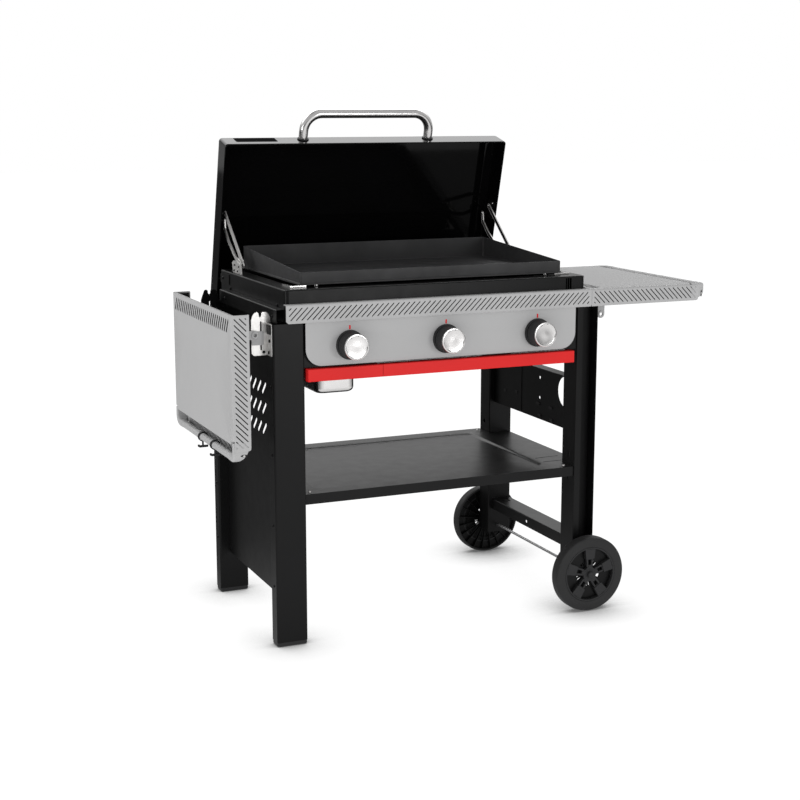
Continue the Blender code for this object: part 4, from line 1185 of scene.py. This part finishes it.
def build_shelf_brackets():
    """Two-lobed hinge plates on the legs, with their flanges, slots, clamps and screws."""
    foot = LEG_TOP + 0.0008
    lobes = [(0.478, 0.8935), (0.488, 0.8945), (0.4918, 0.8915), (0.4925, 0.884), (0.4945, 0.8810),
             (0.4970, 0.8810), (0.4990, 0.884), (0.4997, 0.8915), (0.504, 0.8945), (0.510, 0.8925)]
    for name, sign in SIDES:
        for end, way in (("front", 1), ("rear", -1)):
            node = f"shelf_bracket_{end}_{name}"
            low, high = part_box(node)
            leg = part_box(f"leg_{end}_{name}")
            side = leg[0].x if sign < 0 else leg[1].x
            look = "zinc_plated_steel" if (end, name) == ("front", "left") else "black_paint"
            inner = abs(side - CART.x) + 0.0006
            plane = (high.y - 0.0010) if way > 0 else (low.y + 0.0010)
            lift = 0.0 if end == "front" else 0.009
            outline = [(0.520, 0.788), (0.514, 0.7815), (inner + 0.004, 0.7815), (inner, 0.785),
                       (inner, foot), (0.468, foot), (0.4685, 0.878), (0.472, 0.888 + lift),
                       *((a, b + lift) for a, b in lobes), (0.516, 0.886), (0.520, 0.874)]
            if sign > 0:        # the right plates keep closer to their legs
                outline = [(min(a, 0.5005 + 0.30 * (a - 0.5005)), b) for a, b in outline]
            mesh = flat(outline, [bar((0.494, 0.797), (0.494, 0.868), 0.0042)],
                        lambda a, b: (CART.x + sign * a, plane, b))
            piece(f"{node}_plate", mesh, look, "cart", node, thickness=SHEET, bevel=0.0003)
            reach = sorted((plane + way * 0.0012,
                            (low.y + 0.001) if way > 0 else (high.y - 0.001)))
            mesh = flat(rounded((reach[0], 0.782), (reach[1], foot), 0.003), [],
                        lambda a, b: (CART.x + sign * (inner + 0.0003), a, b))
            piece(f"{node}_flange", mesh, look, "cart", thickness=0.0013, bevel=0.0003)
            near, middle = plane - way * 0.0008, sum(reach) / 2
            if name == "left":
                clamp = prism(rounded((-0.0165, 0.809), (0.0165, 0.845), 0.004), "Y", -0.0006,
                              0.0006)
                at = (CART.x + sign * 0.5035, near - way * 0.0016, 0)
                piece(f"{node}_clamp", moved(clamp, Matrix.Translation(at)),
                      "grey_paint" if way > 0 else "black_paint", "cart", bevel=0.0003)
                stop = prism(rounded((middle - 0.014, 0.838), (middle + 0.014, 0.8625), 0.003),
                             "X", -0.0010, 0.0010)
                at = (CART.x + sign * (inner + 0.0021), 0, 0)
                piece(f"{node}_stop", moved(stop, Matrix.Translation(at)), "black_paint", "cart",
                      bevel=0.0004)
            screws(f"{node}_screws", [(CART.x + sign * (inner + 0.0008), middle + shift, z)
                                      for shift, z in ((-0.004, 0.821), (0.003, 0.790))],
                   (sign, 0, 0))
            screws(f"{node}_low_screw", [(CART.x + sign * 0.487, near, 0.790)], (0, -way, 0),
                   0.0040)


def build_side_rails():
    """Narrow folded rails between the legs' tops and the fire box, one on each side."""
    bottom, side = LEG_TOP + 0.0008, BOX_HIGH.x - CART.x
    top, low_y, high_y = bottom + 0.0365, CART.y - 0.2495, CART.y + 0.2430
    samples = bend([(side + 0.0010, top), (side + 0.0250, top), (side + 0.0250, bottom)], 0.003)
    for name, sign in SIDES:
        mesh = folded(rectangle((low_y, 0), (high_y, samples[-1][0])), [], samples,
                      lambda u, a, b: (CART.x + sign * a, u, b))
        piece(f"side_rail_{name}", mesh, "black_paint", "cart", thickness=SHEET,
              inside=(CART.x, CART.y, bottom), bevel=0.0004)
        screws(f"side_rail_{name}_screws", [(CART.x + sign * (side + 0.0251), y, bottom + 0.017)
                                            for y in (low_y + 0.03, high_y - 0.05)],
               (sign, 0, 0), 0.0035)


def build_hooks():
    """Slim rings on the left rail, each with a short peg below."""
    rail_low, rail_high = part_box("towel_rail_left")
    inner = (rail_high.z - rail_low.z) / 2 + 0.0002
    for node in ("hook_front", "hook_rear"):
        low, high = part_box(node)
        x, y, z = (rail_low + rail_high) / 2
        y, half, foot = (low.y + high.y) / 2, (high.y - low.y) / 2, low.z - 0.0040
        ring = [(inner, -half), (inner + 0.0022, -half), (inner + 0.0030, -half + 0.0008),
                (inner + 0.0030, half - 0.0008), (inner + 0.0022, half), (inner, half)]
        stem = swept([(x, y, z - inner - 0.0015), (x, y, foot)], 0.0026, 14)
        bends = ((-0.0125, 0.0050), (-0.0115, 0.0015), (-0.0090, 0), (0.0135, 0), (0.0145, 0))
        peg = swept([(x + out, y, foot + up) for out, up in bends],
                    [0.0026, 0.0034, 0.0034, 0.0034, 0.0026], 14)
        piece(f"{node}_ring", merged(turned(ring, "Y", (x, y, z), 40, closed=True), stem, peg),
              "black_plastic", node, node)


# ---------------------------------------------------------------- nodes that keep their shape
def dress_nodes():
    """Looks for the CAD nodes that stay as they are."""
    kept = {"black_paint": ["front_rail", "rear_rail", "grease_tray",
                            "lid_bracket_left", "lid_bracket_right"],
            "zinc_plated_steel": ["gas_manifold", "drawer_rail_left", "drawer_rail_right",
                                  "firebox_hinge_left", "firebox_hinge_right"],
            "brushed_steel": [f"burner_{side}" for side in KNOBS],
            "brass": [f"valve_stem_{side}" for side in KNOBS]}
    for look, names in kept.items():
        for name in names:
            mesh = frame["nodes"][name].data
            mesh.materials.clear()
            mesh.materials.append(LOOKS[look])


# ---------------------------------------------------------------- stage
def light_paths(tree):
    """The light path node and the three parts of a coordinate, for floor and world."""
    rays = tree.nodes.new("ShaderNodeLightPath")
    place = tree.nodes.new("ShaderNodeTexCoord")
    split = tree.nodes.new("ShaderNodeSeparateXYZ")
    return rays, place, split


def build_floor():
    """A white floor that glows; a painted contact shadow darkens it near each foot, and reflections
    see a painted darkening behind the cart and far to the sides.
    """
    size = 30.0
    floor = bpy.data.objects.new("floor", block((-size, -size, -0.02), (size, size, 0.0)))
    SCENE.collection.objects.link(floor)
    paper = bpy.data.materials.new("white_floor")
    paper.use_nodes = True
    tree = paper.node_tree
    shader = tree.nodes["Principled BSDF"]
    link(tree, ramp(tree, noise(tree, 3.0), (0.10,) * 3, (0.11,) * 3), shader.inputs["Base Color"])
    shader.inputs["Roughness"].default_value = 0.9
    shader.inputs["Specular IOR Level"].default_value = 0.0
    shader.inputs["Emission Color"].default_value = (1, 1, 1, 1)
    # painted contact shadow: the floor's glow dims where ambient occlusion finds the cart close by
    near = tree.nodes.new("ShaderNodeAmbientOcclusion")
    near.inputs["Distance"].default_value = 0.17
    near.samples = 8
    glow_with_painted_shadow = mapped(tree, near.outputs["AO"], 0.38, 0.96, 0.12, 0.99)
    rays, place, split = light_paths(tree)
    link(tree, place.outputs["Object"], split.inputs["Vector"])
    # painted reflection: for glossy rays the floor's glow falls off behind the cart and far to the
    # left and right
    back = mapped(tree, split.outputs["Y"], -0.9, 0.7, 0.90, 0.07)
    left = mapped(tree, split.outputs["X"], -3.2, -1.2, 0.10, 1.0)
    right = mapped(tree, split.outputs["X"], 2.6, 3.6, 1.0, 0.12)
    back = combined(tree, "MULTIPLY", back, combined(tree, "MULTIPLY", left, right))
    pick = tree.nodes.new("ShaderNodeMix")
    link(tree, rays.outputs["Is Glossy Ray"], pick.inputs["Factor"])
    link(tree, glow_with_painted_shadow, pick.inputs["A"])
    link(tree, back, pick.inputs["B"])
    link(tree, pick.outputs["Result"], shader.inputs["Emission Strength"])
    floor.data.materials.append(paper)


def build_world():
    """White to the camera, softer as a light, with a broad glow seen only in reflections."""
    world = bpy.data.worlds.new("studio")
    SCENE.world = world
    world.use_nodes = True
    tree = world.node_tree
    tree.nodes.clear()
    out = tree.nodes.new("ShaderNodeOutputWorld")
    mix = tree.nodes.new("ShaderNodeMixShader")
    dim, white = tree.nodes.new("ShaderNodeBackground"), tree.nodes.new("ShaderNodeBackground")
    dim.inputs["Color"].default_value = white.inputs["Color"].default_value = (1, 1, 1, 1)
    white.inputs["Strength"].default_value = 1.0
    rays, place, split = light_paths(tree)
    link(tree, place.outputs["Generated"], split.inputs["Vector"])
    glossy, across, up = rays.outputs["Is Glossy Ray"], split.outputs["Y"], split.outputs["Z"]
    fade = mapped(tree, across, -0.55, 0.45, 0.56, 0.72)
    # the glow stands above and behind, and stops short of the top
    high = mapped(tree, up, 0.24, 0.60, -0.26, 2.8)
    behind = combined(tree, "MULTIPLY", mapped(tree, across, 0.0, 0.5, 0.0, 1.0),
                      mapped(tree, up, 0.74, 0.90, 1.0, 0.0))
    glow = combined(tree, "MULTIPLY", combined(tree, "MULTIPLY", high, behind), glossy)
    zenith = mapped(tree, combined(tree, "MULTIPLY", up, glossy), 0.78, 0.96, 1.0, 0.35)
    fade = combined(tree, "MULTIPLY", fade, zenith)
    link(tree, combined(tree, "ADD", fade, glow), dim.inputs["Strength"])
    link(tree, rays.outputs["Is Camera Ray"], mix.inputs["Fac"])
    link(tree, dim.outputs["Background"], mix.inputs[1])
    link(tree, white.outputs["Background"], mix.inputs[2])
    link(tree, mix.outputs["Shader"], out.inputs["Surface"])


def build_lamps():
    """Three soft lamps: above, to the left, and in front on the right."""
    for name, place, aim, size, power in (
            ("top_softbox", (0.0, -0.3, 3.2), (0, 0, 0.6), 1.6, 2),
            ("left_softbox", (-3.9, -1.0, 1.0), (0, 0, 0.7), 1.0, 24),
            ("right_softbox", (1.2, -4.2, 1.0), (0, 0, 0.7), 1.0, 28)):
        lamp = bpy.data.lights.new(name, "AREA")
        lamp.shape = "DISK"
        lamp.size, lamp.energy = size, power
        holder = bpy.data.objects.new(name, lamp)
        SCENE.collection.objects.link(holder)
        holder.location = place
        holder.rotation_euler = (Vector(aim) - Vector(place)).to_track_quat("-Z", "Y").to_euler()
    SCENE.view_settings.view_transform = "Standard"
    SCENE.view_settings.look = "None"


def build_camera():
    """The main view: from the front, some 24 degrees round to the left, and a little above."""
    lens = bpy.data.cameras.new("view")
    lens.lens = 68.14
    lens.sensor_width = 36
    camera = bpy.data.objects.new("view", lens)
    SCENE.collection.objects.link(camera)
    camera.location = (-1.8148, -3.9520, 1.4085)
    camera.rotation_euler = (math.pi / 2 - 0.1906, 0, -0.4102)
    SCENE.camera = camera


build_camera()
build_left_legs()
build_right_legs()
build_end_panel()
build_lower_shelf()
build_tank_bracket()
build_crossbar()
build_wheels()
build_firebox()
build_plate()
build_front()
build_knobs()
build_drawer()
build_lid()
build_linkage()
build_shelf("left", -1, True)
build_shelf("right", 1, False)
build_shelf_brackets()
build_side_rails()
build_hooks()
dress_nodes()
build_floor()
build_world()
build_lamps()
